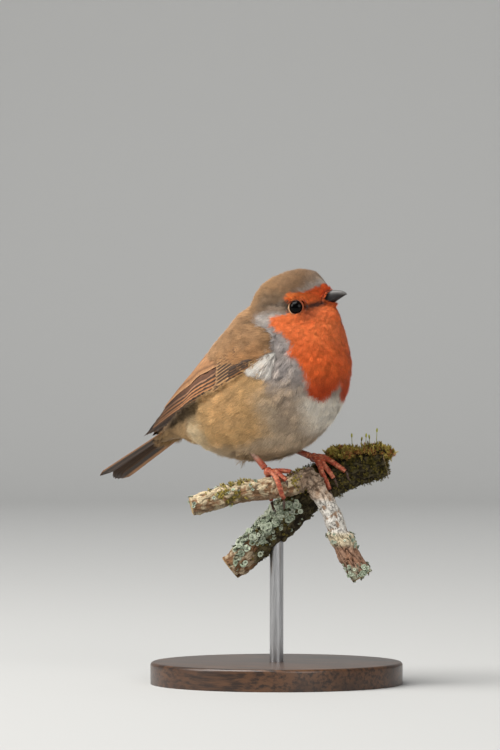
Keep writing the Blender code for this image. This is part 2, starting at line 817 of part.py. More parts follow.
def make_perch(shop, rod_room, foot_rooms):
    bough = shop.helper("bough_tube", tube(*smooth_route(BOUGH, 2), sides_level=3))
    wide = [(a, b, c, d + 1.2 * GAP / MM) for a, b, c, d in BOUGH]
    branch = shop.helper("branch_tube", tube(*smooth_route(BRANCH, 2), sides_level=3))
    branch_room = [(a, b, c, d + GAP / MM) for a, b, c, d in BRANCH]
    bough_room = shop.helper("room_for_bough", tube(*smooth_route(wide, 2), sides_level=3))
    room = shop.helper("room_for_branch", tube(*smooth_route(branch_room, 2), sides_level=3))
    boolean(bough, "DIFFERENCE", rod_room)
    boolean(bough, "DIFFERENCE", room)
    shop.part("perch_bough", evaluated_mesh(bough), "bark")
    shop.part("perch_branch", evaluated_mesh(branch), "bark")
    moss = shop.helper("moss_tube", tube(*smooth_route(MOSS, 2), sides_level=3))
    for room in (bough_room, *foot_rooms):
        boolean(moss, "DIFFERENCE", room)
    shop.part("perch_moss", evaluated_mesh(moss), "moss")
    for helper in (bough, branch, moss):
        bpy.data.objects.remove(helper)


def make_base(shop, rod_room):
    """A turned disc with an eased top edge, and a hole that holds the rod."""
    ease = 1.2 * MM
    steps = 3
    profile = [(0, BASE_HEIGHT)]
    for k in range(steps + 1):
        turn = math.pi / 2 * k / steps
        across = BASE_RADIUS - ease + ease * math.sin(turn)
        profile.append((across, BASE_HEIGHT - ease + ease * math.cos(turn)))
    profile += [(BASE_RADIUS, 0), (0, 0)]
    mesh = bpy.data.meshes.new("base")
    shape = bmesh.new()
    line = [shape.verts.new((x, 0, z)) for x, z in profile]
    for first, second in zip(line, line[1:]):
        shape.edges.new((first, second))
    shape.to_mesh(mesh)
    shape.free()
    disc = shop.helper("disc", mesh)
    disc.location = ROD_PLACE - Vector((0, 0, FEET_HEIGHT))
    screw = disc.modifiers.new("turn", "SCREW")
    screw.steps = screw.render_steps = 36
    screw.use_merge_vertices = True
    screw.merge_threshold = 0.00001
    boolean(disc, "DIFFERENCE", rod_room)
    base = evaluated_mesh(disc)
    base.transform(Matrix.Translation(disc.location))
    shop.part("stand_base", base, "stand_wood")
    bpy.data.objects.remove(disc)


def make_stand(shop, foot_rooms):
    rod_room = shop.helper("room_for_rod", rod(GAP))
    shop.part("stand_rod", rod(), "stand_steel")
    make_perch(shop, rod_room, foot_rooms)
    make_base(shop, rod_room)


def main():
    clear_scene()
    shop = Workshop()
    form = body_form(shop)
    tree = BVHTree.FromPolygons(
        [v.co.copy() for v in form.vertices], [tuple(p.vertices) for p in form.polygons]
    )
    cutters = make_wings(shop, tree)
    cutters += make_tail(shop)
    leg_rooms, foot_rooms = make_legs(shop)
    cutters += leg_rooms
    cutters += make_head_pieces(shop, tree)
    make_body(shop, form, cutters)
    make_stand(shop, foot_rooms)


main()
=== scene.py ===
# %% [markdown]
# # A life-size robin, feather by feather
#
# This lesson dresses a museum model of a robin that grips a cut piece of branch. The solids that
# carry it come ready made from the frame. What is left to do is what makes a bird: one skin with no
# seams, some forty thousand tufts of feather that all lie the right way, layered wings and a tail of
# single quills, a wet eye in its lids, a horn bill, scaled feet, bark, lichen and moss.

# %% Load the frame
import math

import bmesh
import bpy
import numpy as np
from mathutils import Matrix, Vector, noise
from mathutils.bvhtree import BVHTree
from mathutils.kdtree import KDTree


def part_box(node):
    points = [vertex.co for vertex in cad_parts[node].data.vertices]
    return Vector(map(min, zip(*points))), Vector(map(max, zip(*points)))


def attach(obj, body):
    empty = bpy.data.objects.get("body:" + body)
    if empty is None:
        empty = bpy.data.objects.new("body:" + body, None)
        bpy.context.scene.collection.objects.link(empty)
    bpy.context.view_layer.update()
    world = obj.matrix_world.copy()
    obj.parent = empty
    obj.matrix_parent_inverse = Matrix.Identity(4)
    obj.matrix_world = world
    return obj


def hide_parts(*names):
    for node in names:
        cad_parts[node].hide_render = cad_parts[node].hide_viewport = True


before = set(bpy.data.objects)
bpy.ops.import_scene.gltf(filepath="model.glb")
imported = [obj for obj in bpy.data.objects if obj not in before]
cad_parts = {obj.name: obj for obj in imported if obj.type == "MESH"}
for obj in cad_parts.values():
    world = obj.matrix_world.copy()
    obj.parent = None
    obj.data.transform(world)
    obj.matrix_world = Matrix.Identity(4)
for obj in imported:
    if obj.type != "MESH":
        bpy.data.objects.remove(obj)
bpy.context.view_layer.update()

MM = 0.001
rng = np.random.default_rng(7)
print("solids:", len(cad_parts), "nodes")

# %% [markdown]
# ## The bird's own measure
#
# A bird is drawn from its own parts, so every place below is given in millimetres from a point on
# the line that the feet stand on: x towards the bill, y to the bird's left and z up. The point is
# found from the two eyeballs, which the frame places exactly.

# %% Find the point that places are measured from
EYES_AT = Vector((9.7, 0, 58.8))


def middle_of(node):
    low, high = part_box(node)
    return (low + high) / 2


FEET = (middle_of("eye_left") + middle_of("eye_right")) / 2 - EYES_AT * MM
print("feet line at", tuple(round(value / MM, 1) for value in FEET), "mm")


def to_world(places):
    return np.asarray(places, float) * MM + np.array(FEET)


def to_own(places):
    return (np.asarray(places, float) - np.array(FEET)) / MM


def unit(vectors):
    return vectors / np.maximum(np.linalg.norm(vectors, axis=-1, keepdims=True), 1e-9)


def step(low, high, value):
    share = np.clip((value - low) / (high - low), 0, 1)
    return share * share * (3 - 2 * share)


def spot(off, reach, other_off=0.0, other_reach=1.0):
    """1 in the middle of a soft round spot and less with each mm off it."""
    return np.exp(-((off / reach) ** 2) - (other_off / other_reach) ** 2)


def read_off(table, at):
    """The value at a place in a table of (place, value) rows, straight between rows."""
    return np.interp(at, [row[0] for row in table], [row[1] for row in table])


# %% [markdown]
# ## Paints and finishes
#
# Colours are written as they are mixed on a screen and turned into the linear values a shader
# works in. A finish is a node tree round one Principled shader, so two small helpers add nodes.

# %% Paints
def paint(red, green, blue):
    mixed = np.array((red, green, blue), float) / 255
    return np.where(mixed <= 0.04045, mixed / 12.92, ((mixed + 0.055) / 1.055) ** 2.4)


ORANGE = paint(232, 110, 48)
# Painted light: this lighter orange stands for the cheek and upper breast where the light falls on
# them.
LIT_ORANGE = paint(240, 130, 68)
# The deep orange is the forehead's own colour, and low on the breast it is painted shade.
DEEP_AND_SHADED_ORANGE = paint(186, 62, 22)
CROWN_BROWN = paint(148, 116, 86)
NAPE_BROWN = paint(158, 122, 84)
FOREHEAD_GREY = paint(176, 156, 138)
MANTLE_BROWN = paint(168, 130, 92)
EAR_BROWN = paint(128, 104, 80)
BLUE_GREY = paint(166, 157, 152)
FLANK_BUFF = paint(206, 168, 116)
FLANK_DEEP = paint(208, 166, 114)
BELLY_CREAM = paint(196, 175, 148)
BREAST_WHITE = paint(232, 224, 210)
VENT_WHITE = paint(218, 196, 158)
TAIL_COVERT_BUFF = paint(172, 140, 98)
LORE_DARK = paint(58, 30, 22)
GOLDEN_BROW = paint(238, 142, 66)
SHADED_CHIN = paint(150, 62, 30)
print("orange in linear values:", np.round(ORANGE, 3))


def finish(name, **values):
    material = bpy.data.materials.new(name)
    material.use_nodes = True
    shader = material.node_tree.nodes["Principled BSDF"]
    for key, value in values.items():
        shader.inputs[key.replace("_", " ")].default_value = value
    return material, material.node_tree, shader


def add(tree, kind, sockets, **settings):
    """A new node. Sockets maps an input's name or number to a value or to another node's output."""
    node = tree.nodes.new(kind)
    for key, value in settings.items():
        setattr(node, key, value)
    for key, value in sockets.items():
        if isinstance(value, bpy.types.NodeSocket):
            tree.links.new(value, node.inputs[key])
        else:
            node.inputs[key].default_value = value
    return node


def opaque(colour):
    return (*[float(part) for part in colour], 1.0)


def mixed(tree, share, first, second, way="MIX"):
    """The colour between two others."""
    node = add(tree, "ShaderNodeMix", {0: share}, data_type="RGBA", blend_type=way)
    for number, value in ((6, first), (7, second)):
        if isinstance(value, bpy.types.NodeSocket):
            tree.links.new(value, node.inputs[number])
        else:
            node.inputs[number].default_value = opaque(value)
    return node.outputs[2]


def ramp(tree, value, low, high):
    """0 below low, 1 above high, and smooth between."""
    sockets = {"Value": value, "From Min": low, "From Max": high}
    node = add(tree, "ShaderNodeMapRange", sockets, interpolation_type="SMOOTHSTEP")
    return node.outputs["Result"]


def own_place(tree):
    return add(tree, "ShaderNodeTexCoord", {}).outputs["Object"]


def grain(tree, size, detail, roughness=0.55, stretch=(1, 1, 1)):
    """Noise whose blotches are about size across, in metres."""
    turned = add(tree, "ShaderNodeMapping", {"Vector": own_place(tree), "Scale": stretch})
    sockets = {"Vector": turned.outputs[0], "Scale": 1 / size, "Detail": detail,
               "Roughness": roughness}
    return add(tree, "ShaderNodeTexNoise", sockets).outputs["Fac"]


def beads(tree, size, feature="F1"):
    """Small cells about size across, in metres, by the distance from their middles or edges."""
    sockets = {"Vector": own_place(tree), "Scale": 1 / size}
    return add(tree, "ShaderNodeTexVoronoi", sockets, feature=feature).outputs["Distance"]


def raise_bumps(tree, shader, height, depth, strength=1.0):
    sockets = {"Height": height, "Distance": depth, "Strength": strength}
    bump = add(tree, "ShaderNodeBump", sockets)
    tree.links.new(bump.outputs[0], shader.inputs["Normal"])


def own_tone(tree, name="tone"):
    """The colour that the piece's points carry."""
    return add(tree, "ShaderNodeAttribute", {}, attribute_name=name).outputs["Color"]


def mottled(tree, tone, pattern, ends, dark, light):
    """The tone multiplied by one shade where a pattern is low and by another where it is high."""
    shade = mixed(tree, ramp(tree, pattern, *ends), dark, light)
    return mixed(tree, 1.0, tone, shade, "MULTIPLY")


def colour_with(tree, shader, tone):
    tree.links.new(tone, shader.inputs["Base Color"])


def place_piece(name, mesh, material, slot, stands_for=()):
    """A finished piece: it rides on the one body and takes the finish it is given. The slot is not
    used.
    """
    piece = bpy.data.objects.new(name, mesh)
    bpy.context.scene.collection.objects.link(piece)
    mesh.materials.clear()
    mesh.materials.append(material)
    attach(piece, "root")
    if stands_for:
        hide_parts(*stands_for)
    return piece


def mesh_from(shape, name):
    mesh = bpy.data.meshes.new(name)
    shape.to_mesh(mesh)
    shape.free()
    mesh.shade_smooth()
    return mesh


def thicken(piece, thickness, offset=-1):
    """A wall of so many mm, inwards from the piece's face or, at offset 0, to both sides."""
    solid = piece.modifiers.new("thickness", "SOLIDIFY")
    solid.thickness = thickness * MM
    solid.offset = offset


def tone_points(mesh, colours, name="tone"):
    layer = mesh.color_attributes.new(name=name, type="FLOAT_COLOR", domain="POINT")
    tones = np.ones((len(mesh.vertices), 4))
    tones[:, :3] = colours
    layer.data.foreach_set("color", tones.ravel())


def quads_mesh(name, places, faces, count):
    """One mesh of count copies of a grid of quads, and which point each of its corners is."""
    each = len(places) // count
    corners = (faces[None] + (np.arange(count) * each)[:, None, None]).reshape(-1)
    mesh = bpy.data.meshes.new(name)
    mesh.vertices.add(len(places))
    mesh.vertices.foreach_set("co", places.ravel())
    mesh.loops.add(len(corners))
    mesh.loops.foreach_set("vertex_index", corners)
    mesh.polygons.add(count * len(faces))
    mesh.polygons.foreach_set("loop_start", np.arange(count * len(faces)) * 4)
    mesh.update(calc_edges=True)
    mesh.shade_smooth()
    return mesh, corners


def map_points(mesh, name, flat, corners):
    """A UV map that puts each point at its flat place."""
    layer = mesh.uv_layers.new(name=name)
    layer.uv.foreach_set("vector", flat[corners].ravel())


# %% [markdown]
# ## One skin
#
# The frame parts the flesh into head, neck, trunk and rump with thin cuts. A real bird has no such
# seams. Each part is swollen by a hair so that the cuts close, a voxel remesh fuses them, and the
# result is drawn in by the depth of the coat, so that the feather tips end where the solids do.

# %% Fuse the flesh
FLESH = ("head", "neck", "trunk", "rump")
SEAM_CLOSING = 0.3 * MM
SKIN_VOXEL = 0.6 * MM
BILL_BASE = np.array((17.0, 0, 61.6))
EYE_SPOTS = [np.array((10.3, side * 10.6, 58.9)) for side in (-1, 1)]


def welded(node):
    """A node's mesh with its loose triangles joined."""
    shape = bmesh.new()
    shape.from_mesh(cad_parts[node].data)
    bmesh.ops.remove_doubles(shape, verts=shape.verts, dist=0.001 * MM)
    return shape


def fused(nodes, swell):
    """The nodes' meshes in one shape, each swollen a little so that the cuts between them close."""
    whole = bmesh.new()
    for node in nodes:
        part = welded(node)
        part.normal_update()
        for vert in part.verts:
            vert.co += vert.normal * swell
        swollen = mesh_from(part, node)
        whole.from_mesh(swollen)
        bpy.data.meshes.remove(swollen)
    return whole


def worked(shape, name, *modifiers):
    """The shape as a mesh, with modifiers given as (kind, settings) applied."""
    holder = bpy.data.objects.new(name, mesh_from(shape, name))
    bpy.context.scene.collection.objects.link(holder)
    for kind, settings in modifiers:
        modifier = holder.modifiers.new(kind, kind)
        for key, value in settings.items():
            setattr(modifier, key, value)
    bpy.context.view_layer.update()
    graph = bpy.context.evaluated_depsgraph_get()
    mesh = bpy.data.meshes.new_from_object(holder.evaluated_get(graph))
    bpy.data.objects.remove(holder)
    mesh.shade_smooth()
    return mesh


def remeshed(shape, voxel, smoothing, name="remeshed"):
    """The shape rebuilt from small cubes of one size and smoothed."""
    return worked(shape, name, ("REMESH", {"mode": "VOXEL", "voxel_size": voxel}),
                  ("SMOOTH", {"iterations": smoothing}))


def rounded(shape, name):
    """The shape rounded by one level of subdivision."""
    return worked(shape, name, ("SUBSURF", {"levels": 1, "render_levels": 1}))


def vectors_of(items, key):
    vectors = np.empty(len(items) * 3)
    items.foreach_get(key, vectors)
    return vectors.reshape(-1, 3)


def points_of(mesh):
    return vectors_of(mesh.vertices, "co"), vectors_of(mesh.vertices, "normal")


def push_out(mesh, places, facing, push):
    """Moves each point along its normal by so many mm."""
    mesh.vertices.foreach_set("co", (places + facing * (push * MM)[:, None]).ravel())
    mesh.update()


skin_mesh = remeshed(fused(FLESH, SEAM_CLOSING), SKIN_VOXEL, 6, "skin")
print("skin:", len(skin_mesh.polygons), "faces")


# %% Draw the skin in by the depth of the coat
def from_bill(places):
    return np.linalg.norm(places - BILL_BASE, axis=1)


def from_eye(places):
    return np.min([np.linalg.norm(places - spot, axis=1) for spot in EYE_SPOTS], axis=0)


TAIL_ROOT = np.array((-26.0, 0, 27.0))
TAIL_SLOPE = math.radians(31)
TAIL_BACK = np.array((-math.cos(TAIL_SLOPE), 0, -math.sin(TAIL_SLOPE)))


def coat_depth(places):
    """How deep the feathers lie, in mm: least round the bill, the eyes and the root of the tail."""
    deep = read_off(((0, 0.2), (4, 0.45), (14, 1.0), (30, 1.6), (50, 2.0)), from_bill(places))
    deep = deep * read_off(((2.5, 0.35), (6, 1.0)), from_eye(places))
    along_tail = (places - TAIL_ROOT) @ TAIL_BACK
    return deep * read_off(((4, 1.0), (12, 0.65), (20, 0.35), (30, 0.2)), along_tail)


MANTLE_FACING = unit(np.array((-0.6, 0, 0.8)))


def fullness(places, facing):
    """How much more the mantle puffs out than the solid, and how much less the breast, in mm."""
    x, _, z = places.T
    mantle = step(0.1, 0.7, facing @ MANTLE_FACING) * step(8, -4, x) * step(60, 52, z)
    breast = step(0.2, 0.8, facing[:, 0]) * step(14, 26, z) * step(66, 58, z)
    return 1.5 * mantle * step(-50, -38, x) - 0.6 * breast


outer_places, outer_facing = points_of(skin_mesh)
own = to_own(outer_places)
drawn_in = SEAM_CLOSING / MM + coat_depth(own) - fullness(own, outer_facing)
push_out(skin_mesh, outer_places, outer_facing, -drawn_in)
print("coat from", round(coat_depth(own).min(), 2), "to", round(coat_depth(own).max(), 2), "mm deep")

# %% [markdown]
# ## Where each colour lies
#
# The markings are one function of place, which the skin and every tuft ask for their colour. The
# orange bib starts over the bill, passes over the eye, drops behind the cheek and runs down the side
# of the breast. Blue-grey edges it, brown lies above and behind, buff on the flank, cream below.

# %% The markings
# (height, how far forward the bib's back edge lies), in mm
BIB_BACK = ((25.0, 19.0), (27.4, 16.2), (32.7, 15.8), (36.7, 15.0), (39.6, 12.6), (42.2, 11.0),
            (45.5, 10.4), (48.4, 8.6), (50.5, 4.4), (53.0, 2.4), (55.3, 2.6), (56.2, 7.6),
            (62.9, 6.7), (64.1, 7.3), (64.5, 12.4), (65.4, 14.2), (66.8, 15.8), (67.6, 17.2),
            (68.8, 18.0), (72.0, 24.0))
# (height, how far forward the grey on the side of the breast starts), in mm
GREY_BACK = ((12.0, 4.0), (21.8, 4.9), (29.1, 2.4), (36.4, 0.7), (43.6, -0.2), (46.9, -0.7),
             (49.1, -2.8), (52.7, -5.1), (55.4, -5.0), (58.5, -1.0), (60.5, 2.0), (64.0, 8.0),
             (67.0, 12.0), (70.0, 15.0))


def wander(places, size, seed):
    """Soft noise from -1 to 1 with blotches of a size in mm."""
    shift = Vector((seed * 17.3, seed * 5.1, seed * 9.7))
    return np.array([noise.noise(Vector(place) + shift) for place in places / size])


def blend(colour, other, share):
    """One colour, or one for each place, taken towards another by each place's share."""
    return colour + (other - colour) * np.clip(share, 0, 1)[:, None]


def back_colours(x, y, z, colour):
    """Crown, nape, mantle and the rump above."""
    colour = blend(colour, NAPE_BROWN, step(10, -4, x) * 0.8)
    colour = blend(colour, MANTLE_BROWN, step(56, 46, z))
    colour = blend(colour, FOREHEAD_GREY, step(9, 16, x) * step(62, 66, z) * 0.9)
    ear = step(9, 7, x) * step(-8, -2, x) * step(54.5, 57, z) * step(66, 62.5, z)
    colour = blend(colour, EAR_BROWN, ear * step(5, 8, np.abs(y)))
    streak = spot(z - 59.6 - 0.1 * (x - 2), 0.9) * step(8, 5, x) * step(-7, -1, x)
    return blend(colour, EAR_BROWN * 0.4, streak * 0.75 * step(5, 8, np.abs(y)))


def under_colours(x, y, z, ragged, colour):
    """Flanks, belly, vent and the coverts round the root of the tail."""
    aside = np.abs(y)
    flank = step(44, 36, z + 0.25 * (x + 5)) * step(-62, -50, x)
    colour = blend(colour, FLANK_BUFF, flank)
    deep_flank = flank * spot(x + 13, 9, z - 25, 9)
    colour = blend(colour, FLANK_DEEP, deep_flank * 0.75)
    line = read_off(((4, -24), (10, -9), (14, 0), (18, 0.5), (26, -2)), z)
    white = step(-4, 5, x - line + ragged) * step(34, 22, z)
    under = step(15, 6, aside) * step(24, 12, z)
    colour = blend(colour, BELLY_CREAM, np.maximum(white, under * 0.9))
    rear = step(12, 7.5, z) * step(-34, -28, x) * 0.85
    colour = blend(colour, BELLY_CREAM, rear)
    in_front = step(9, 16, x + ragged) * step(34, 28, z) * step(10, 18, z + 0.5 * x)
    colour = blend(colour, BREAST_WHITE, in_front)
    # Painted shade: the lowest belly, which faces down, is taken towards a dark buff.
    lowest = step(13, 4, z) * step(-24, -14, x) * step(12, 2, x)
    colour = blend(colour, FLANK_BUFF * 0.6, lowest * 0.7)
    vent = step(-21, -27, x + ragged) * step(21, 15, z) * step(-36, -31, x)
    colour = blend(colour, VENT_WHITE, vent)
    above_tail = step(-1.5, 1.5, z - 27 - 0.6 * (x + 26))
    colour = blend(colour, TAIL_COVERT_BUFF, step(-30, -34, x) * (1 - above_tail))
    # Painted shade: above the tail the mantle's brown is darkened by a fifth, under the wing tips.
    return blend(colour, MANTLE_BROWN * 0.8, step(-28, -34, x) * above_tail)


def grey_colours(x, z, ragged, streaks, colour):
    """Blue-grey edges the bib and is widest on the side of the breast."""
    start = read_off(GREY_BACK, z)
    grey = step(-1.2, 2.6, x - start + 1.5 * ragged) * step(10, 20, z + 0.35 * x)
    grey *= read_off(((12, 0.3), (22, 0.8), (34, 1.0), (70, 1.0)), z)
    grey *= 1 - 0.85 * step(55.2, 57.6, z + 0.5 * ragged) * step(9.5, 6.5, x)
    grey *= 1 - 0.35 * step(60, 63, z)
    grey *= 1 - step(29, 25, z) * step(9, 17, x)
    tone = BLUE_GREY * (1 + 0.12 * streaks)[:, None]
    tone = blend(tone, BELLY_CREAM, step(0.6, 1.8, streaks) * 0.6 * step(40, 28, z))
    # Painted shade: low on the side of the breast the grey is taken towards a dark buff.
    tone = blend(tone, FLANK_BUFF * 0.6, 0.5 * step(36, 22, z))
    tone = blend(tone, BREAST_WHITE * 0.9, 0.2 * step(49, 54, z))
    return blend(colour, tone, grey)


def markings(places, ragged, streaks):
    """Linear colours for places in the bird's own mm. Ragged shifts each place's borders, in mm."""
    x, y, z = places.T
    colour = back_colours(x, y, z, CROWN_BROWN)
    colour = under_colours(x, y, z, ragged, colour)
    colour = grey_colours(x, z, ragged, streaks, colour)
    # The bib, with a white parting at its foot.
    foot = 26.0 + 5.6 * spot(y + 3.0, 2.2) + 0.12 * np.maximum(np.abs(y) - 10, 0) ** 2
    edge = x - read_off(BIB_BACK, z + 0.35 * ragged)
    bib = step(-0.5, 0.5, edge + ragged) * step(-0.9, 0.9, z - foot + 0.8 * ragged)
    # Painted light makes the orange lighter at mid height, on the cheek and upper breast.
    orange = blend(ORANGE, LIT_ORANGE, step(40, 50, z) * step(63, 57, z) * 0.7)
    # Deeper orange is the forehead's own colour above and painted shade on the lower breast below.
    orange = blend(orange, DEEP_AND_SHADED_ORANGE, np.maximum(step(38, 28, z) * 0.8, step(61, 66, z) * 0.55))
    orange = blend(orange, GOLDEN_BROW, spot(x - 9.0, 3.5, z - 62.6, 1.4) * 0.8)
    orange = blend(orange, SHADED_CHIN, spot(x - 14.5, 3.2, z - 56.2, 2.4) * 0.7)
    orange *= (1 + 0.05 * streaks)[:, None]
    colour = blend(colour, orange, bib)
    # Dark lores run from the gape towards the eye.
    lore = spot(x - 15.6, 3.6, z - 59.9 - 0.3 * (x - 16.4), 1.35)
    return blend(colour, LORE_DARK, np.minimum(1.25 * lore, 0.95))


# Painted shade: the skin shows only between the tufts' roots, so it takes the markings darkened as if
# in their shade.
SKIN_SHADE = 0.6
skin_points = to_own(points_of(skin_mesh)[0])
still = np.zeros(len(skin_points))
tone_points(skin_mesh, markings(skin_points, still, still) * SKIN_SHADE, "plumage")
print("markings read at", len(skin_points), "points of the skin")


# %% The plumage finish
def plumage_finish():
    """Feather colour from the piece's own attribute, broken up by fine noise."""
    material, tree, shader = finish("plumage", Roughness=0.8, Specular_IOR_Level=0.25,
                                    Sheen_Weight=0.15, Sheen_Roughness=0.5)
    fine = grain(tree, 0.5 * MM, 4, 0.7)
    wide = grain(tree, 3.2 * MM, 2)
    tone = own_tone(tree, "plumage")
    tone = mottled(tree, tone, fine, (0.3, 0.72), (0.84, 0.84, 0.84), (1.1, 1.1, 1.1))
    tone = mottled(tree, tone, wide, (0.35, 0.7), (0.94, 0.94, 0.95), (1.05, 1.04, 1.02))
    colour_with(tree, shader, tone)
    raise_bumps(tree, shader, fine, 0.05 * MM, 0.5)
    return material


PLUMAGE = plumage_finish()
skin = place_piece("skin", skin_mesh, PLUMAGE, "brown_plumage", FLESH)
print("the skin stands for", len(FLESH), "solids")


# %% Unwrap the skin, so that each tuft knows its place on it
UNWRAP_ANGLE = 1.15
ISLAND_GAP = 0.004


def unwrap(piece):
    """Blender's own unwrap of the piece's shape, named as the bake expects."""
    bpy.ops.object.select_all(action="DESELECT")
    piece.select_set(True)
    bpy.context.view_layer.objects.active = piece
    piece.data.uv_layers.new(name="OFBake")
    bpy.ops.object.mode_set(mode="EDIT")
    bpy.ops.mesh.select_all(action="SELECT")
    bpy.ops.uv.smart_project(angle_limit=UNWRAP_ANGLE, island_margin=ISLAND_GAP, scale_to_bounds=True)
    bpy.ops.object.mode_set(mode="OBJECT")
    layer = piece.data.uv_layers["OFBake"]
    corners = np.empty(len(piece.data.loops) * 2)
    layer.uv.foreach_get("vector", corners)
    return corners.reshape(-1, 2)


skin_corners = unwrap(skin)
face_starts = np.empty(len(skin_mesh.polygons), int)
skin_mesh.polygons.foreach_get("loop_start", face_starts)
face_uv = (skin_corners[face_starts] + skin_corners[face_starts + 2]) / 2
print("unwrapped", len(face_uv), "faces")

# %% [markdown]
# ## One tuft
#
# A contour feather shows only its loose tip: a fan of barbs. One tuft is a few narrow strips that
# start together and spread, each a small grid pulled to its place. Half a dozen patterns are enough
# for all of the coat, as each tuft is turned, stretched and tinted on its own.

# %% Make the patterns
BARBS = 6
BARB_ROWS = 2
BARB_SPLAY = 0.5
BARB_GIRTH = 0.075


def strips(count, rows, place_of):
    """A few narrow grids, each pulled to its place by place_of(which, across, share)."""
    shape = bmesh.new()
    places, along = [], []
    for k in range(count):
        made = bmesh.ops.create_grid(shape, x_segments=1, y_segments=rows, size=0.5)["verts"]
        for vert in made:
            share = vert.co.y + 0.5
            vert.co = place_of(k, vert.co.x * 2, share)
            places.append(tuple(vert.co))
            along.append(share)
    shape.verts.index_update()
    faces = [[vert.index for vert in face.verts] for face in shape.faces]
    shape.free()
    return np.array(places), np.array(along), np.array(faces)


def tuft_pattern():
    """One tuft, 1 long, about 1 wide and rising by 1 over its length."""
    draws = [(rng.random(), rng.normal(0, 0.05), rng.normal(0, 0.14)) for _ in range(BARBS)]

    def barb(k, across, share):
        shorter, bend, steeper = draws[k]
        spread = (2 * k - (BARBS - 1)) / (BARBS - 1)
        reach = 1 - 0.16 * spread**2 - 0.16 * shorter
        half = BARB_GIRTH * (1 - 0.75 * share**1.5)
        aside = spread * (0.14 + BARB_SPLAY * share) + bend * share**2 + across * half
        lift = (1 + steeper) * math.sin(share * math.pi * 0.42)
        return (share * reach, aside, lift - 0.06 * abs(spread))

    return strips(BARBS, BARB_ROWS, barb)


PATTERNS = [tuft_pattern() for _ in range(6)]
print("a tuft has", len(PATTERNS[0][2]) * 2, "triangles")

# %% [markdown]
# ## Planting
#
# Each skin face carries a tuft, two or three on the head where they are small. Its direction comes
# from a lie that streams away from the bill and turns towards the tail. The tufts of one part of
# the body become one joined mesh, built from arrays in one go.

# %% The lie, the length and the spread of the coat
def lie_of(places, facing):
    """The way feathers point at each place: from the bill at first, then towards the tail."""
    towards_tail = unit(np.array((-92.0, 0, -10.0)) - places)
    along_tail = step(-22, -34, places[:, 0])[:, None]
    towards_tail = unit(towards_tail * (1 - along_tail) + TAIL_BACK * along_tail)
    away = unit(places - BILL_BASE)
    share = step(14, 62, from_bill(places))[:, None]
    way = unit(away * (1 - share) + towards_tail * share)
    lie = unit(way - facing * np.sum(way * facing, axis=1)[:, None])
    # Round the base of the tail every feather runs along the tail, whatever the skin does below.
    strays = step(0.97, 0.6, lie @ TAIL_BACK) * step(-27, -36, places[:, 0])
    return unit(lie * (1 - 0.85 * strays[:, None]) + TAIL_BACK * (0.85 * strays[:, None]))


def tuft_length(places):
    long = read_off(((0, 0.9), (4, 1.4), (9, 2.0), (16, 2.9), (28, 4.0), (45, 5.2), (70, 6.0)),
                    from_bill(places))
    long = long * read_off(((2.6, 0.5), (6, 1.0)), from_eye(places))
    return long * (1 - 0.45 * step(-32, -42, places[:, 0]))


WING_START = np.array((10.0, 0, 38.0))
WING_END = np.array((-60.0, 0, 10.0))
WING_LINE = unit(WING_END - WING_START)
WING_UP = unit(np.array((WING_LINE[2], 0, -WING_LINE[0])))
# The highest loose feathers of the shoulder, (mm along the wing, degrees round its line).
SHOULDER_TOP = ((-3, 40), (2, 50), (8, 72), (14, 90), (20, 98))
SHOULDER_FRONT = 1.4


def round_wing(places):
    """How far along the wing's line each place lies, in mm, and how far round it, in degrees."""
    off = places - WING_START
    return off @ WING_LINE, np.degrees(np.arctan2(off @ WING_UP, np.abs(off[:, 1])))


WING_COVER = 3.2 * MM


def under_wing(places, facing):
    """True where a wing's solid lies right over the skin."""
    hidden = np.zeros(len(places), bool)
    for tree in WING_TREES:
        for i, (place, way) in enumerate(zip(places, facing)):
            if not hidden[i] and tree.ray_cast(Vector(place), Vector(way), WING_COVER)[0] is not None:
                hidden[i] = True
    along, turn = round_wing(to_own(places))
    return hidden & (turn < read_off(SHOULDER_TOP, along) - 10) & (along > SHOULDER_FRONT + 1.0)


def tree_of(nodes):
    shape = bmesh.new()
    for node in nodes:
        shape.from_mesh(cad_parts[node].data)
    tree = BVHTree.FromBMesh(shape)
    shape.free()
    return tree


WING_TREES = [
    tree_of((f"wing_{side}_coverts", f"wing_{side}_quills")) for side in ("right", "left")
]


# %% [markdown]
# ## Feathers and streaks
#
# Loose barbs hide where one feather ends, but the eye still finds feathers: the tips of each stand
# a little proud, painted shade makes its edges and its root end darker than its middle and its tip,
# and its barbs cling together in streaks. So each tuft belongs to one feather and one streak, and
# takes lift, turn and tone from both.

# %% Share the tufts out
def tree_from(middles):
    tree = KDTree(len(middles))
    for i, middle in enumerate(middles):
        tree.insert(middle, i)
    tree.balance()
    return tree


def even_middles(places, count, rounds):
    """Middles spread evenly: random ones, each moved a few times to the middle of its own share."""
    middles = places[rng.choice(len(places), count, replace=False)]
    for _ in range(rounds):
        tree = tree_from(middles)
        nearest = np.array([tree.find(place)[1] for place in places])
        sums = np.zeros_like(middles)
        np.add.at(sums, nearest, places)
        owned = np.bincount(nearest, minlength=count)[:, None]
        middles = np.where(owned > 0, sums / np.maximum(owned, 1), middles)
    return middles


STREAK_SIZE = 6
NEAR_STREAKS = 7
STREAK_STRETCH = 0.88


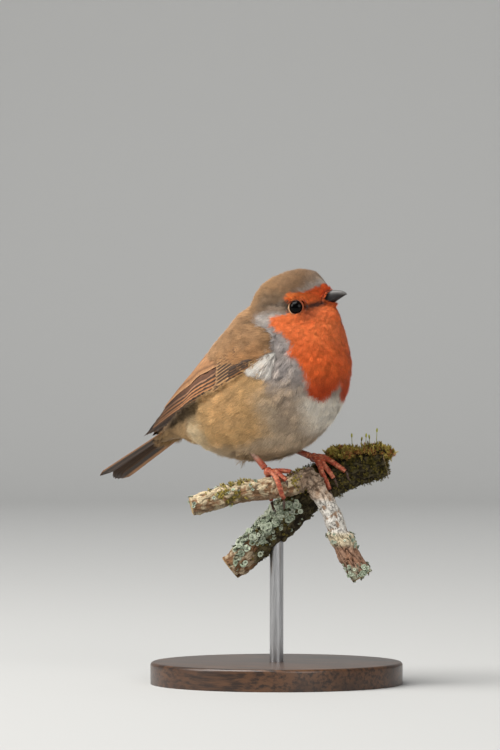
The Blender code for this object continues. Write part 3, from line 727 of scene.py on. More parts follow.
def share_out(places, ups, lie, spacing, feather_size=19, strength=1.0):
    """Yaw, lift and tone for each tuft, the feather it is in and how far its streak strays."""
    sideways = np.cross(ups, lie)
    middles = even_middles(places, len(places) // feather_size, 4)
    tree = tree_from(middles)
    feather = np.array([tree.find(place)[1] for place in places])
    size = spacing * math.sqrt(feather_size) * 0.56
    off = places - middles[feather]
    u = np.clip(np.sum(off * lie, axis=1) / size, -1, 1)
    v = np.clip(np.sum(off * sideways, axis=1) / size, -1, 1)
    seeds = even_middles(places, len(places) // STREAK_SIZE, 1)
    tree = tree_from(seeds)

    def nearest_streak(place, way):
        near = np.array([hit[1] for hit in tree.find_n(place, NEAR_STREAKS)])
        gap = place - seeds[near]
        return near[np.argmin(np.sum(gap * gap, axis=1) - STREAK_STRETCH * (gap @ way) ** 2)]

    streak = np.array([nearest_streak(place, way) for place, way in zip(places, lie)])
    by_feather = rng.normal(0, 1, len(middles))[feather]
    by_streak = rng.normal(0, 1, len(seeds))[streak]
    turn = rng.normal(0, 1, len(seeds))[streak]
    yaw = 0.32 * v + 0.13 * turn + 0.12 * rng.normal(0, 1, len(middles))[feather]
    lift = 1 + 0.2 * u + 0.12 * by_streak - 0.1 * v**2
    # Painted shade: each feather is darker at its edges and towards its root, where its neighbours
    # overlap it; by streak and by feather the tone differs at random.
    tone = 1 + strength * (0.09 * u - 0.13 * v**2 + 0.115 * by_streak + 0.045 * by_feather)
    return yaw, np.clip(lift, 0.6, 1.4), np.clip(tone, 0.55, 1.45), by_feather, by_streak


# %% Where the tufts stand
def skin_faces(mesh):
    return vectors_of(mesh.polygons, "center"), vectors_of(mesh.polygons, "normal")


def line_distance(places, start, end):
    start, end = np.array(start, float), np.array(end, float)
    way = end - start
    share = np.clip((places - start) @ way / (way @ way), 0, 1)
    return np.linalg.norm(places - start - share[:, None] * way, axis=1)


# Where the toes of each foot meet, and the ankle end of each shank, in mm.
KNUCKLES = {"right": (-1.8, -9.0, -0.6), "left": (6.9, 9.2, 4.4)}
ANKLES = {"right": (-17.0, -12.5, 17.0), "left": (-17.0, 11.0, 12.0)}
BARE_ROUND_EYE = 2.85
BARE_ROUND_SHANK = 2.4
centres, facing = skin_faces(skin_mesh)
own_centres = to_own(centres)
bill_distance = from_bill(own_centres)
per_face = np.where(bill_distance < 7, 3, np.where(bill_distance < 26, 2, 1))
bare = (from_eye(own_centres) < BARE_ROUND_EYE) | under_wing(centres, facing)
bare |= (own_centres[:, 0] > 20.3) & (own_centres[:, 2] > 61.5)
for foot in KNUCKLES:
    off_shank = line_distance(own_centres, ANKLES[foot], KNUCKLES[foot])
    bare |= (off_shank < BARE_ROUND_SHANK) & (own_centres[:, 2] < 12)
bare |= facing @ TAIL_BACK > 0.9
per_face[bare] = 0
chosen = np.repeat(np.arange(len(centres)), per_face)
print("tufts to plant:", len(chosen))


BAKE_PATCH = 0.0026
ROOT_SHADE = 0.42


def planted(name, roots, ups, along, long, wide, lift, tints, spots, slot, material=PLUMAGE,
            patterns=PATTERNS):
    """One joined mesh of tufts, with a colour and a bake patch for each."""
    places = np.array([pattern[0] for pattern in patterns])
    shares = np.array([pattern[1] for pattern in patterns])
    faces = patterns[0][2]
    pick = rng.integers(0, len(patterns), len(roots))
    local, share = places[pick], shares[pick]
    across = np.cross(ups, along)
    coords = roots[:, None, :] + MM * (
        local[..., 0:1] * (long[:, None] * along)[:, None, :]
        + local[..., 1:2] * (wide[:, None] * across)[:, None, :]
        + local[..., 2:3] * (lift[:, None] * ups)[:, None, :]
    )
    count, each = len(roots), local.shape[1]
    mesh, corners = quads_mesh(name, coords.reshape(-1, 3), faces, count)
    # Painted shade: each tuft, sprig and lobe is darkened towards its root, where the others shade it.
    tone = ROOT_SHADE + (1 - ROOT_SHADE) * step(0.0, 0.6, share)
    if patterns is PATTERNS:
        tone = tone * np.repeat(rng.normal(1, 0.06, (count, BARBS)), each // BARBS, axis=1)
    tones = tints[:, None, :] * tone[..., None]
    tone_points(mesh, np.clip(tones, 0, 1).reshape(-1, 3), "plumage")
    patch = local[..., :2] * BAKE_PATCH - np.array((BAKE_PATCH / 2, 0))
    map_points(mesh, "OFBake", np.clip(spots[:, None, :] + patch, 0.0, 1.0).reshape(-1, 2), corners)
    place_piece(name, mesh, material, slot)
    print(name, count, "tufts,", count * len(faces) * 2, "triangles")


# %% Plant the coat
def region_of(places):
    """Which piece of the coat each place belongs to."""
    x, y, z = places.T
    names = np.full(len(places), "coat_belly", dtype=object)
    names[(z > 24) & (x > 6)] = "coat_breast"
    names[(x < -28)] = "coat_rump"
    flank = (np.abs(y) > 9) & (x <= 6) & (x >= -28) & (z > 10) & (z < 50)
    names[flank & (y < 0)] = "coat_flank_right"
    names[flank & (y >= 0)] = "coat_flank_left"
    names[(z >= 30) & (x <= 6) & ~flank] = "coat_back"
    names[(z >= 46)] = "coat_nape"
    names[(z >= 42) & (x > 4)] = "coat_throat"
    head = z > 55.5
    names[head & (y < 0)] = "coat_head_right"
    names[head & (y >= 0)] = "coat_head_left"
    return names


SLOTS = {"breast": "orange_plumage", "throat": "orange_plumage", "head": "brown_plumage",
         "back": "brown_plumage", "nape": "brown_plumage"}


def turned(lie, ups, yaw):
    return unit(lie + np.cross(ups, lie) * yaw[:, None])


tuft_ups = facing[chosen]
jitter = unit(np.cross(tuft_ups, rng.normal(0, 1, (len(chosen), 3))))
roots = centres[chosen] + jitter * (rng.random((len(chosen), 1)) * 0.42 * MM)
own_roots = to_own(roots)
lie = lie_of(own_roots, tuft_ups)
spacing = 0.6 / np.sqrt(per_face[chosen])
yaw, rise, tone, by_feather, by_streak = share_out(own_roots, tuft_ups, lie, spacing)
lie = turned(lie, tuft_ups, yaw + rng.normal(0, 0.07, len(yaw)) + 0.15 * wander(own_roots, 6, 1))
long = tuft_length(own_roots) * rng.uniform(0.82, 1.18, len(chosen)) * (0.9 + 0.1 * rise)
long *= 1 - 0.6 * step(0.15, 0.6, np.sum(tuft_ups * lie, axis=1))
wide = 0.4 + 0.22 * long
lift = coat_depth(own_roots) * rise * rng.uniform(0.85, 1.05, len(chosen)) + 0.05
tips = own_roots + lie * (long * 0.6)[:, None]
ragged = rng.normal(0, 0.4, len(chosen)) + 0.3 * by_feather + 0.5 * wander(own_roots, 2.6, 2)
forward, height = own_roots[:, 0], own_roots[:, 2]
calm = step(-1.0, 1.5, forward - read_off(BIB_BACK, height)) * step(24, 28, height)
tints = markings(tips, ragged, by_streak) * (1 + (tone - 1) * (1 - 0.45 * calm))[:, None]
tints *= rng.normal(1, 0.05, (len(chosen), 1)) * (1 + 0.1 * wander(own_roots, 4.5, 3))[:, None]
# Just below the wing the flank lies in deep shadow, and its feathers are pressed short.
along_wing, turn = round_wing(tips)
edge = ((10, 12), (16, 9), (27, 5), (33, 3.5), (43, 3.2), (50, 2), (64, 2.5))
gap = read_off(edge, along_wing) - turn
shaded = step(26, 8, gap) * step(-14, -8, gap) * step(34, 43, along_wing) * step(64, 57, along_wing)
beside = step(10, 3, gap) * step(-16, -12, gap) * step(10, 15, along_wing) * step(66, 60, along_wing)
long *= 1 - 0.7 * np.maximum(shaded, beside)
tints *= (1 - 0.8 * shaded)[:, None]
names = region_of(own_roots)
for name in sorted(set(names)):
    mine = names == name
    slot = next((SLOTS[key] for key in SLOTS if key in name), "buff_plumage")
    planted(name, roots[mine], tuft_ups[mine], lie[mine], long[mine], wide[mine],
            lift[mine], tints[mine], face_uv[chosen][mine], slot)

# %% [markdown]
# ## The eyes
#
# A robin's eye is a dark brown ball behind a clear, wet cornea, ringed by a rim of pale bare skin.
# The ball is a fine sphere where the frame's eye is. The rim is a ring of rows round the line of
# sight, which climbs over the edge of the ball and sinks into the skin.

# %% Eyeballs and lids
EYE_RADIUS = 3.3
LID = 0.08
EYE_FACING = unit(np.array((0.26, 0.96, 0.05)))


def eye_finish():
    material, tree, shader = finish("wet_eye", Roughness=0.12, Specular_IOR_Level=0.09)
    rays = grain(tree, 0.25 * MM, 2)
    tone = mottled(tree, own_tone(tree), rays, (0.35, 0.7), (0.7, 0.7, 0.7), (1.3, 1.25, 1.2))
    colour_with(tree, shader, tone)
    return material


def lid_finish():
    material, tree, shader = finish("eye_rim", Roughness=0.55, Specular_IOR_Level=0.4)
    cells = beads(tree, 0.24 * MM)
    tone = mottled(tree, own_tone(tree), cells, (0.1, 0.7), (1.05, 1.04, 1.0), (0.8, 0.75, 0.7))
    colour_with(tree, shader, tone)
    raise_bumps(tree, shader, cells, -0.04 * MM)
    return material


WET_EYE, EYE_RIM = eye_finish(), lid_finish()
# (degrees off the line of sight, mm from the ball's centre), from the wet edge outwards
RIM_ROWS = ((46.0, 3.26), (47.2, 3.38), (48.8, 3.54), (51.0, 3.64), (53.8, 3.64), (57.0, 3.5),
            (64.0, 3.2), (76.0, 2.9))


PUPIL, IRIS, IRIS_EDGE = paint(2, 2, 2), paint(14, 8, 6), paint(5, 4, 3)
LID_SHADED, LID_PALE, LID_WET = paint(150, 72, 36), paint(244, 200, 158), paint(30, 18, 14)


def off_sight(places, centre, sight):
    """How many degrees off the line of sight places lie, seen from the ball's centre."""
    return np.degrees(np.arccos(np.clip(unit(places - centre) @ sight, -1, 1)))


def make_ball(name, centre, sight, place):
    shape = bmesh.new()
    bmesh.ops.create_uvsphere(shape, u_segments=48, v_segments=32, radius=EYE_RADIUS * MM,
                              matrix=place)
    mesh = mesh_from(shape, f"eyeball_{name}")
    off = off_sight(points_of(mesh)[0], centre, sight)
    colours = blend(PUPIL, IRIS, step(25, 29, off))
    tone_points(mesh, blend(colours, IRIS_EDGE, step(38, 45, off)))
    place_piece(f"eyeball_{name}", mesh, WET_EYE, "eye", (f"eye_{name}",))


def make_rim(name, centre, sight, place):
    shape = bmesh.new()
    made = bmesh.ops.create_circle(shape, segments=64, radius=1.0)["verts"]
    edges = list({edge for vert in made for edge in vert.link_edges})
    for k, (off, reach) in enumerate(RIM_ROWS):
        if k:
            grown = bmesh.ops.extrude_edge_only(shape, edges=edges)["geom"]
            made = [item for item in grown if isinstance(item, bmesh.types.BMVert)]
            edges = [item for item in grown if isinstance(item, bmesh.types.BMEdge)
                     and all(vert in made for vert in item.verts)]
        for vert in made:
            turned_by = math.atan2(vert.co.y, vert.co.x)
            oval = 1 + 0.05 * math.cos(2 * turned_by) - 0.015 * math.cos(4 * turned_by)
            angle = math.radians(off * oval)
            across = Vector((math.cos(turned_by), math.sin(turned_by), 0)) * math.sin(angle)
            bulge = 1 + 0.01 * math.sin(11 * turned_by + k)
            vert.co = (across + Vector((0, 0, math.cos(angle)))) * reach * bulge * MM
    bmesh.ops.recalc_face_normals(shape, faces=shape.faces)
    shape.transform(place)
    mesh = mesh_from(shape, f"eye_rim_{name}")
    places, out = points_of(mesh)
    if np.mean(np.sum(out * sight, axis=1)) < 0:
        mesh.flip_normals()
    own = to_own(places) - to_own(centre)
    below = step(1.0, -1.6, own[:, 2] + 0.7 * own[:, 0])
    wet = step(48.5, 46.5, off_sight(places, centre, sight))
    tone_points(mesh, blend(blend(LID_SHADED, LID_PALE, below), LID_WET, wet))
    thicken(place_piece(f"eye_rim_{name}", mesh, EYE_RIM, "orange_plumage"), LID)


for name, side in (("right", -1), ("left", 1)):
    centre, sight = np.array(middle_of(f"eye_{name}")), EYE_FACING * np.array((1, side, 1))
    turn = Vector(sight).to_track_quat("Z", "Y").to_matrix().to_4x4()
    for make in (make_ball, make_rim):
        make(name, centre, sight, Matrix.Translation(centre) @ turn)
print("eyes look", np.round(EYE_FACING, 2))

# %% [markdown]
# ## The bill
#
# Two horny blades meet along a line that bends down at the gape. The frame's blades have the right
# outline; each is built again from rings that follow the tables below, rounded by subdivision and
# given the sheen of horn: dark at the cutting edges, with a painted highlight that makes it lighter
# along the ridge.

# %% Bill
# The bill seen from the side, as (forward, up) in mm from its base to its tip.
RIDGE = ((14.6, 64.0), (16.5, 64.7), (18.5, 65.15), (20.5, 65.3), (22.5, 65.2), (24.2, 64.85),
         (25.3, 64.3), (25.85, 63.55))
MEETING = ((14.6, 58.9), (16.5, 59.9), (18.5, 60.95), (20.5, 61.9), (22.5, 62.75), (24.2, 63.4),
           (25.1, 63.6), (25.75, 63.4))
KEEL = ((14.6, 57.6), (16.5, 58.5), (18.5, 59.6), (20.5, 60.75), (22.0, 61.6), (23.4, 62.4),
        (24.6, 63.05), (25.2, 63.45))
HALF_WIDTH = (2.9, 2.6, 2.15, 1.7, 1.25, 0.8, 0.42, 0.12)
BILL_ROUND = 24


def horn_finish():
    material, tree, shader = finish("horn", Roughness=0.42, Specular_IOR_Level=0.4)
    streaks = grain(tree, 0.45 * MM, 4, 0.6, (0.3, 1, 1))
    tone = mottled(tree, own_tone(tree), streaks, (0.3, 0.75), (0.78, 0.78, 0.78), (1.22, 1.2, 1.17))
    colour_with(tree, shader, tone)
    raise_bumps(tree, shader, streaks, 0.04 * MM, 0.6)
    return material


def blade(name, outer, inner, colour_of, stands_for):
    """A horn blade: rings from base to tip, flat where the blades meet and arched outside."""
    shape = bmesh.new()
    ring = bmesh.ops.create_circle(shape, segments=BILL_ROUND, radius=1.0, cap_ends=True)["verts"]
    cap = list(shape.faces)[0]
    for k, width in enumerate(HALF_WIDTH):
        if k:
            grown = bmesh.ops.extrude_face_region(shape, geom=[cap])["geom"]
            old = cap
            cap = next(item for item in grown if isinstance(item, bmesh.types.BMFace))
            bmesh.ops.delete(shape, geom=[old], context="FACES_ONLY")
            ring = list(cap.verts)
        (x_out, z_out), (x_in, z_in) = outer[k], inner[k]
        for i, vert in enumerate(ring):
            angle = 2 * math.pi * i / BILL_ROUND
            up = math.sin(angle)
            side = math.copysign(abs(math.cos(angle)) ** 0.8, math.cos(angle))
            arch = max(up, 0.0) ** 0.9
            vert.co = Vector(to_world((x_in + (x_out - x_in) * arch, width * side * (1 - 0.12 * arch),
                                       z_in + (z_out - z_in) * arch)))
    bmesh.ops.recalc_face_normals(shape, faces=shape.faces)
    soft = rounded(shape, name)
    own = to_own(points_of(soft)[0])
    tone_points(soft, colour_of(own))
    place_piece(name, soft, HORN, "bill", stands_for)


def upper_colours(own):
    ridge = read_off(RIDGE, own[:, 0])
    # Painted highlight: the upper blade is lighter along its ridge, where the light falls.
    light = blend(paint(30, 27, 26), paint(92, 90, 88), step(2.0, 0.3, ridge - own[:, 2]))
    return blend(light, paint(60, 46, 38), step(18.0, 16.0, own[:, 0]) * 0.6)


def lower_colours(own):
    return blend(paint(78, 50, 36), paint(24, 21, 20), step(16.5, 19, own[:, 0]))


HORN = horn_finish()
BILL_SLIT = 0.03
above, below = ([(x, z + gap) for x, z in MEETING] for gap in (BILL_SLIT, -BILL_SLIT))
blade("bill_blade_upper", RIDGE, above, upper_colours, ("bill_upper",))
blade("bill_blade_lower", KEEL, below, lower_colours, ("bill_lower",))


# %% Nostrils
def make_nostrils():
    """A dark slit on each side of the ridge, as a small flattened ball painted near black as the shade
    inside the opening.
    """
    shape = bmesh.new()
    for side in (-1, 1):
        place = Vector(to_world((18.6, side * 1.72, 63.6)))
        tilt = Matrix.Rotation(math.radians(-20), 4, "Y") @ Matrix.Diagonal((0.75, 0.22, 0.26, 1))
        bmesh.ops.create_uvsphere(shape, u_segments=16, v_segments=8, radius=1.0 * MM,
                                  matrix=Matrix.Translation(place) @ tilt)
    mesh = mesh_from(shape, "nostrils")
    tone_points(mesh, paint(14, 11, 10))
    place_piece("nostrils", mesh, HORN, "bill")


make_nostrils()
print("the bill is", round(RIDGE[-1][0] - RIDGE[0][0], 1), "mm from the feathers to its tip")

# %% [markdown]
# ## The folded wings
#
# A folded wing is a stack of quills that slide over each other like a fan: the long primaries at
# the bottom, then the secondaries, then three broad tertials, with rows of coverts over their
# roots. Each is laid on the wing's own surface, which is read from the frame by rays shot out from
# the line along the wing, and lifted a little more than the one below it.

# %% The wing's surface
BODY_TREE = BVHTree.FromPolygons(
    [Vector(place) for place in outer_places],
    [tuple(face.vertices) for face in skin_mesh.polygons],
)


RAY_START = 0.1


class WingForm:
    """How far a wing's outer face lies from its line, by mm along it and degrees round it."""

    ALONG = np.arange(-4.0, 77.0, 1.0)
    ROUND = np.arange(-30.0, 106.0, 2.5)

    def __init__(self, side, tree):
        self.side = side

        def depth(tree, start, way):
            """How far out the tree's face lies, in mm, or None where the ray misses it."""
            hit = tree.ray_cast(start + way * RAY_START, -way, RAY_START)
            return None if hit[0] is None else (RAY_START - hit[3]) / MM

        far = np.zeros((len(self.ALONG), len(self.ROUND)))
        for i, at in enumerate(self.ALONG):
            start = Vector(to_world(WING_START + WING_LINE * at))
            for j, turn in enumerate(self.ROUND):
                way = Vector(self.way(turn))
                wing, body = depth(tree, start, way), depth(BODY_TREE, start, way)
                far[i, j] = wing if wing is not None else body + 0.4 if body is not None else -1
        for i in range(len(self.ALONG)):
            row = far[i]
            good = row > 0
            far[i] = np.interp(self.ROUND, self.ROUND[good], row[good]) if good.any() else far[i - 1]
        for _ in range(3):
            padded = np.pad(far, 1, mode="edge")
            far = (padded[:-2, 1:-1] + padded[2:, 1:-1] + padded[1:-1, :-2] + padded[1:-1, 2:]
                   + 2 * far) / 6
        # The loose feathers along the top edge puff out over the solid.
        puff = step(28, 55, self.ROUND)[None, :] * (step(5, 18, self.ALONG)
                                                    * step(76, 66, self.ALONG))[:, None]
        self.far = far + 1.5 * puff

    def way(self, turn):
        angle = np.radians(turn)
        out = np.array((0.0, self.side, 0.0))
        return np.cos(angle)[..., None] * out + np.sin(angle)[..., None] * WING_UP

    def reach(self, at, turn):
        u = np.interp(at, self.ALONG, np.arange(len(self.ALONG)))
        v = np.interp(turn, self.ROUND, np.arange(len(self.ROUND)))
        i = np.minimum(u.astype(int), len(self.ALONG) - 2)
        j = np.minimum(v.astype(int), len(self.ROUND) - 2)
        a, b = u - i, v - j
        far = self.far
        return (far[i, j] * (1 - a) * (1 - b) + far[i + 1, j] * a * (1 - b)
                + far[i, j + 1] * (1 - a) * b + far[i + 1, j + 1] * a * b)

    def place(self, at, turn, lift):
        """World places on the wing, lifted by so many mm."""
        at, turn = np.asarray(at, float), np.asarray(turn, float)
        far = self.reach(at, turn) + lift
        line = WING_START + WING_LINE * at[..., None]
        return to_world(line + self.way(turn) * far[..., None])


wing_forms = {"right": WingForm(-1, WING_TREES[0]), "left": WingForm(1, WING_TREES[1])}
print("wing lies", round(float(wing_forms["right"].far.max()), 1), "mm from its line at most")

# %% [markdown]
# ## One quill
#
# A quill is a long grid. Its rows follow the shaft and its columns spread to both webs, the outer
# one narrow and the inner one broad. The colours go with the columns: a light rufous line along the
# outer edge, dark brown in the middle, a pale shaft.

# %% Lay a quill
QUILL_ROWS = 18
VANE = 0.09
ACROSS = np.array((-1.0, -0.8, -0.6, -0.4, -0.2, -0.05, 0.05, 0.3, 0.65, 1.0))


def web_width(share, pointed):
    """How wide a quill is along its length, from 0 to 1."""
    start = 0.45 + 0.55 * step(0.0, 0.35, share)
    round_off = np.clip((share - (1 - pointed)) / pointed, 0, 1)
    return start * np.sqrt(np.maximum(1 - round_off**2.2, 0.0))


def grid_shape(rows, columns):
    """A flat grid, and its points row by row."""
    shape = bmesh.new()
    bmesh.ops.create_grid(shape, x_segments=columns - 1, y_segments=rows - 1, size=1)
    shape.verts.index_update()
    order = sorted(shape.verts, key=lambda vert: (round(vert.co.y, 4), round(vert.co.x, 4)))
    return shape, order


class Stack:
    """Quills gathered for one joined mesh."""

    def __init__(self):
        self.places, self.colours, self.flat = [], [], []

    def lay(self, surface, path, webs, lift, colours, pointed, camber=0.25, rim=(-0.3, -0.8),
            by_edge=False, shade=0.0, fade=0.0):
        """Adds one quill along its path, (mm along, degrees or mm across) from root to tip.

        The path is the shaft's, or the outer edge's where by_edge is true.
        """
        share = np.linspace(0, 1, QUILL_ROWS) ** 0.9
        outer, inner = webs
        width = web_width(share, pointed)
        side = np.where(ACROSS < 0, outer, inner) * ACROSS + (outer if by_edge else 0)
        offset = width[:, None] * side[None, :]
        stations = np.array(path)
        gone = (stations[:, 0] - stations[0, 0]) / (stations[-1, 0] - stations[0, 0])
        at = np.interp(share, gone, stations[:, 0])
        across = np.interp(share, gone, stations[:, 1])
        for _ in range(4):
            across[1:-1] = (across[:-2] + 2 * across[1:-1] + across[2:]) / 4
        at = np.repeat(at[:, None], len(ACROSS), axis=1)
        across = np.repeat(across[:, None], len(ACROSS), axis=1)
        shaft = 0.07 * spot(ACROSS, 0.08)[None, :] * (1 - share)[:, None] ** 0.5
        settle = -0.5 * (1 - step(0, 0.3, share))
        high = lift + settle[:, None] - camber * (ACROSS**2)[None, :] * width[:, None] + shaft
        self.places.append(surface(at, across, offset, high))
        edge, dark, tip_tone, shaft_tone = colours
        tone = np.empty((QUILL_ROWS, len(ACROSS), 3))
        tone[:] = dark
        rims = np.maximum(step(*rim, ACROSS), step(0.75, 1.0, ACROSS) * 0.25)
        tone += (edge - tone) * rims[None, :, None]
        tone += (shaft_tone - tone) * ((np.abs(ACROSS) < 0.1) * 0.5)[None, :, None]
        down = share[:, None, None]
        tone += (tip_tone - tone) * (step(0.88, 1.0, down) * 0.55)
        tone *= 1 - shade * step(0.2, 0.1, down)
        tone *= 1 - fade * step(0.5, 0.9, down)
        self.colours.append(tone * rng.normal(1, 0.05))
        self.flat.append(np.stack(np.meshgrid(ACROSS * 0.5 + 0.5, share), axis=-1))

    def build(self, name, slot, stands_for=()):
        rows, columns = QUILL_ROWS, len(ACROSS)
        count = len(self.places)
        shape, order = grid_shape(rows, columns)
        rank = {vert.index: k for k, vert in enumerate(order)}
        grid = np.array([[rank[vert.index] for vert in face.verts] for face in shape.faces])
        shape.free()
        places = np.array(self.places).reshape(-1, 3)
        mesh, corners = quads_mesh(name, places, grid, count)
        tone_points(mesh, np.clip(np.array(self.colours).reshape(-1, 3), 0, 1), "plumage")
        flat = np.array(self.flat).reshape(-1, 2)
        map_points(mesh, "vane", flat, corners)
        cells = math.ceil(math.sqrt(count))
        which = np.repeat(np.arange(count), rows * columns)
        corner_of_cell = np.stack((which % cells, which // cells), axis=1)
        map_points(mesh, "OFBake", (corner_of_cell + 0.04 + flat * 0.92) / cells, corners)
        thicken(place_piece(name, mesh, QUILL, slot, stands_for), VANE)
        print(name, count, "quills")


BARB_SLANT = -0.28
BARB_LINES = 420.0


def quill_finish():
    """Smooth vanes with fine slanted barbs, read from the piece's own map."""
    material, tree, shader = finish("quill", Roughness=0.55, Specular_IOR_Level=0.3)
    flat = add(tree, "ShaderNodeUVMap", {}, uv_map="vane").outputs[0]
    across, along = add(tree, "ShaderNodeSeparateXYZ", {0: flat}).outputs[:2]

    def worked_out(operation, *values):
        return add(tree, "ShaderNodeMath", dict(enumerate(values)), operation=operation).outputs[0]

    off_shaft = worked_out("ABSOLUTE", worked_out("SUBTRACT", across, 0.5))
    run = worked_out("ADD", along, worked_out("MULTIPLY", off_shaft, BARB_SLANT))
    height = ramp(tree, worked_out("SINE", worked_out("MULTIPLY", run, BARB_LINES)), -1.0, 1.0)
    cloudy = grain(tree, 1.3 * MM, 4, 0.6)
    tone = own_tone(tree, "plumage")
    tone = mottled(tree, tone, cloudy, (0.3, 0.75), (0.82, 0.82, 0.82), (1.14, 1.12, 1.1))
    barbs = mixed(tree, height, (0.93, 0.93, 0.93), (1.05, 1.05, 1.05))
    colour_with(tree, shader, mixed(tree, 1.0, tone, barbs, "MULTIPLY"))
    raise_bumps(tree, shader, height, 0.03 * MM, 0.5)
    return material


QUILL = quill_finish()
WING_DARK = paint(64, 46, 32)
SHOULDER_RUFOUS = paint(178, 132, 88)
FAN_WHITE = paint(240, 234, 224)
WING_EDGE = paint(180, 126, 80)
WING_LIGHT = paint(214, 166, 116)
SHAFT = paint(52, 36, 26)


# %% Lay the wings
DARK_QUILL = (WING_EDGE, WING_DARK * 0.75, WING_DARK, SHAFT)
LOWEST_QUILL = (paint(178, 140, 112), WING_DARK * 0.7, WING_DARK, SHAFT)
PINK_QUILL = (paint(172, 126, 96), paint(102, 70, 52), WING_EDGE, SHAFT)
RUFOUS_QUILL = (paint(192, 134, 90), WING_DARK * 0.9, WING_EDGE, SHAFT)
LIGHT_QUILL = (paint(206, 158, 116), paint(168, 122, 84), paint(206, 158, 116), SHAFT * 2)
COVERT_QUILL = (WING_LIGHT, WING_DARK * 1.5, WING_LIGHT, SHAFT)
ALULA_QUILL = (WING_EDGE * 0.7, WING_DARK * 0.95, WING_DARK * 1.2, SHAFT)
# The outer edge of each quill, (mm along, degrees round), from the lowest up. The wing's long
# feathers run side by side, so their pale edges make near-parallel lines that close at the tip.
PRIMARY_EDGES = (((19, 8), (27, 5.5), (36, 3.5), (43, 3.2), (50, 2), (57, 1.5), (64, 2.5), (68, 6)),
                 ((21, 8), (32, 5), (43, 4.5), (50, 4.5), (58, 5), (66, 8.5), (70, 12)),
                 ((21, 8), (32, 5), (43, 5.5), (50, 7.5), (58, 9), (66, 12), (71.5, 15)),
                 ((21, 8), (32, 5), (43, 6.5), (50, 10.5), (58, 13), (66, 16), (73, 20)))
SECONDARY_EDGES = (((20, 8.5), (31.5, 5), (43, 7.5), (50, 13), (57, 16.5), (65, 21.5), (71.5, 24)),
                   ((20, 10), (27, 8), (37, 8), (43, 10), (50, 16.5), (57, 20), (62, 23), (68, 28.5)),
                   ((20, 13), (28, 11), (37, 11.5), (43, 13.5), (50, 20), (57, 24.5), (65, 34)),
                   ((20, 17), (28, 14.5), (37, 15), (43, 18.5), (50, 27), (57, 32), (63, 39.5)),
                   ((20, 22), (28, 18.5), (36, 19), (43, 25), (50, 33), (57, 38), (61.5, 44)))
TERTIAL_EDGES = (((18, 33), (24, 41), (33, 49), (44, 61), (50, 70)),
                 ((19, 24.5), (24.5, 25), (33.5, 29.5), (43, 38.5), (50, 45), (56, 49), (60, 52)))


def make_wing(name):
    form = wing_forms[name]

    def surface(at, across, offset, high):
        far = np.maximum(form.reach(at, across), 4.0)
        return form.place(at, across + np.degrees(offset / far), high)

    primaries = Stack()
    for k, path in enumerate(PRIMARY_EDGES):
        colours = LOWEST_QUILL if k == 0 else DARK_QUILL
        primaries.lay(surface, path, (0.8, 3.2), -1.15 + 0.12 * k, colours, pointed=0.22,
                      by_edge=True, rim=(-0.3, -0.6) if k == 0 else (-0.7, -0.95), shade=0.4,
                      fade=0.0 if k == 0 else 0.45)
    primaries.build(f"wing_{name}_primaries", "wing_feather", (f"wing_{name}_quills",))

    secondaries = Stack()
    for k, path in enumerate(SECONDARY_EDGES):
        colours = (DARK_QUILL, RUFOUS_QUILL, RUFOUS_QUILL, RUFOUS_QUILL, PINK_QUILL)[k]
        secondaries.lay(surface, path, (0.95, 3.0), -0.62 + 0.13 * k, colours, pointed=0.2,
                        by_edge=True, rim=(0.1, -0.2) if k else (-0.6, -0.85), shade=0.55,
                        fade=0.65)
    secondaries.build(f"wing_{name}_secondaries", "wing_feather")

    tertials = Stack()
    for k, path in enumerate(TERTIAL_EDGES):
        webs = (1.6, 5.4) if k else (2.2, 4.2)
        tertials.lay(surface, path, webs, 0.05 + 0.14 * k, LIGHT_QUILL, pointed=0.3, by_edge=True,
                     rim=(-0.5, -0.9), shade=0.3, fade=0.25)
    tertials.build(f"wing_{name}_tertials", "wing_feather")

    coverts = Stack()
    for k in range(3):
        path = ((12, 11 + k), (30.5 - 1.2 * k, 5 + 1.8 * k))
        coverts.lay(surface, path, (0.8, 1.4), -0.25 + 0.08 * k, COVERT_QUILL, pointed=0.25,
                    shade=0.3)
    for k in range(8):
        path = ((13, 14 + 2.8 * k), (27.6 - 0.4 * k, 8.6 + 2.9 * k))
        coverts.lay(surface, path, (0.9, 1.7), 0.02 + 0.05 * k, COVERT_QUILL, pointed=0.25,
                    rim=(-0.1, -0.6))
    for k in range(3):
        path = ((10, 14 + 1.6 * k), (21.3 - 0.5 * k, 10 + 2.3 * k))
        coverts.lay(surface, path, (0.9, 1.3), 0.3 + 0.1 * k, ALULA_QUILL, pointed=0.25)
    coverts.build(f"wing_{name}_covert_rows", "wing_feather", (f"wing_{name}_coverts",))


for name in ("right", "left"):
    make_wing(name)

# %% [markdown]
# ## Scapulars and the white fan
#
# The shoulder end of a folded wing is buried in loose brown feathers that stream down from the
# back, the scapulars and lesser coverts. They are tufts like those of the body, planted on the
# wing's own surface. In front, a fan of white feathers from the side of the breast laps over it.

# %% Plant the shoulders
# (mm along the wing, the lowest degrees round that loose feathers reach)
SHOULDER_EDGE = ((1.4, 40), (2.0, 28), (3.2, 22), (5.8, 18), (9, 16), (12, 17), (14.4, 21), (18, 26),
                 (21, 31), (25.5, 43), (29.5, 58), (34.5, 76), (39.5, 100))


SHOULDER_TUFTS = 9000
SHOULDER_SPACING = 0.62


def shoulder_tones(at, turn, ragged):
    warm = step(40, 22, turn + 4 * ragged) * step(3, 9, at)
    tone = blend(MANTLE_BROWN, SHOULDER_RUFOUS, warm)
    return blend(tone, MANTLE_BROWN * 0.92, step(28, 45, at))


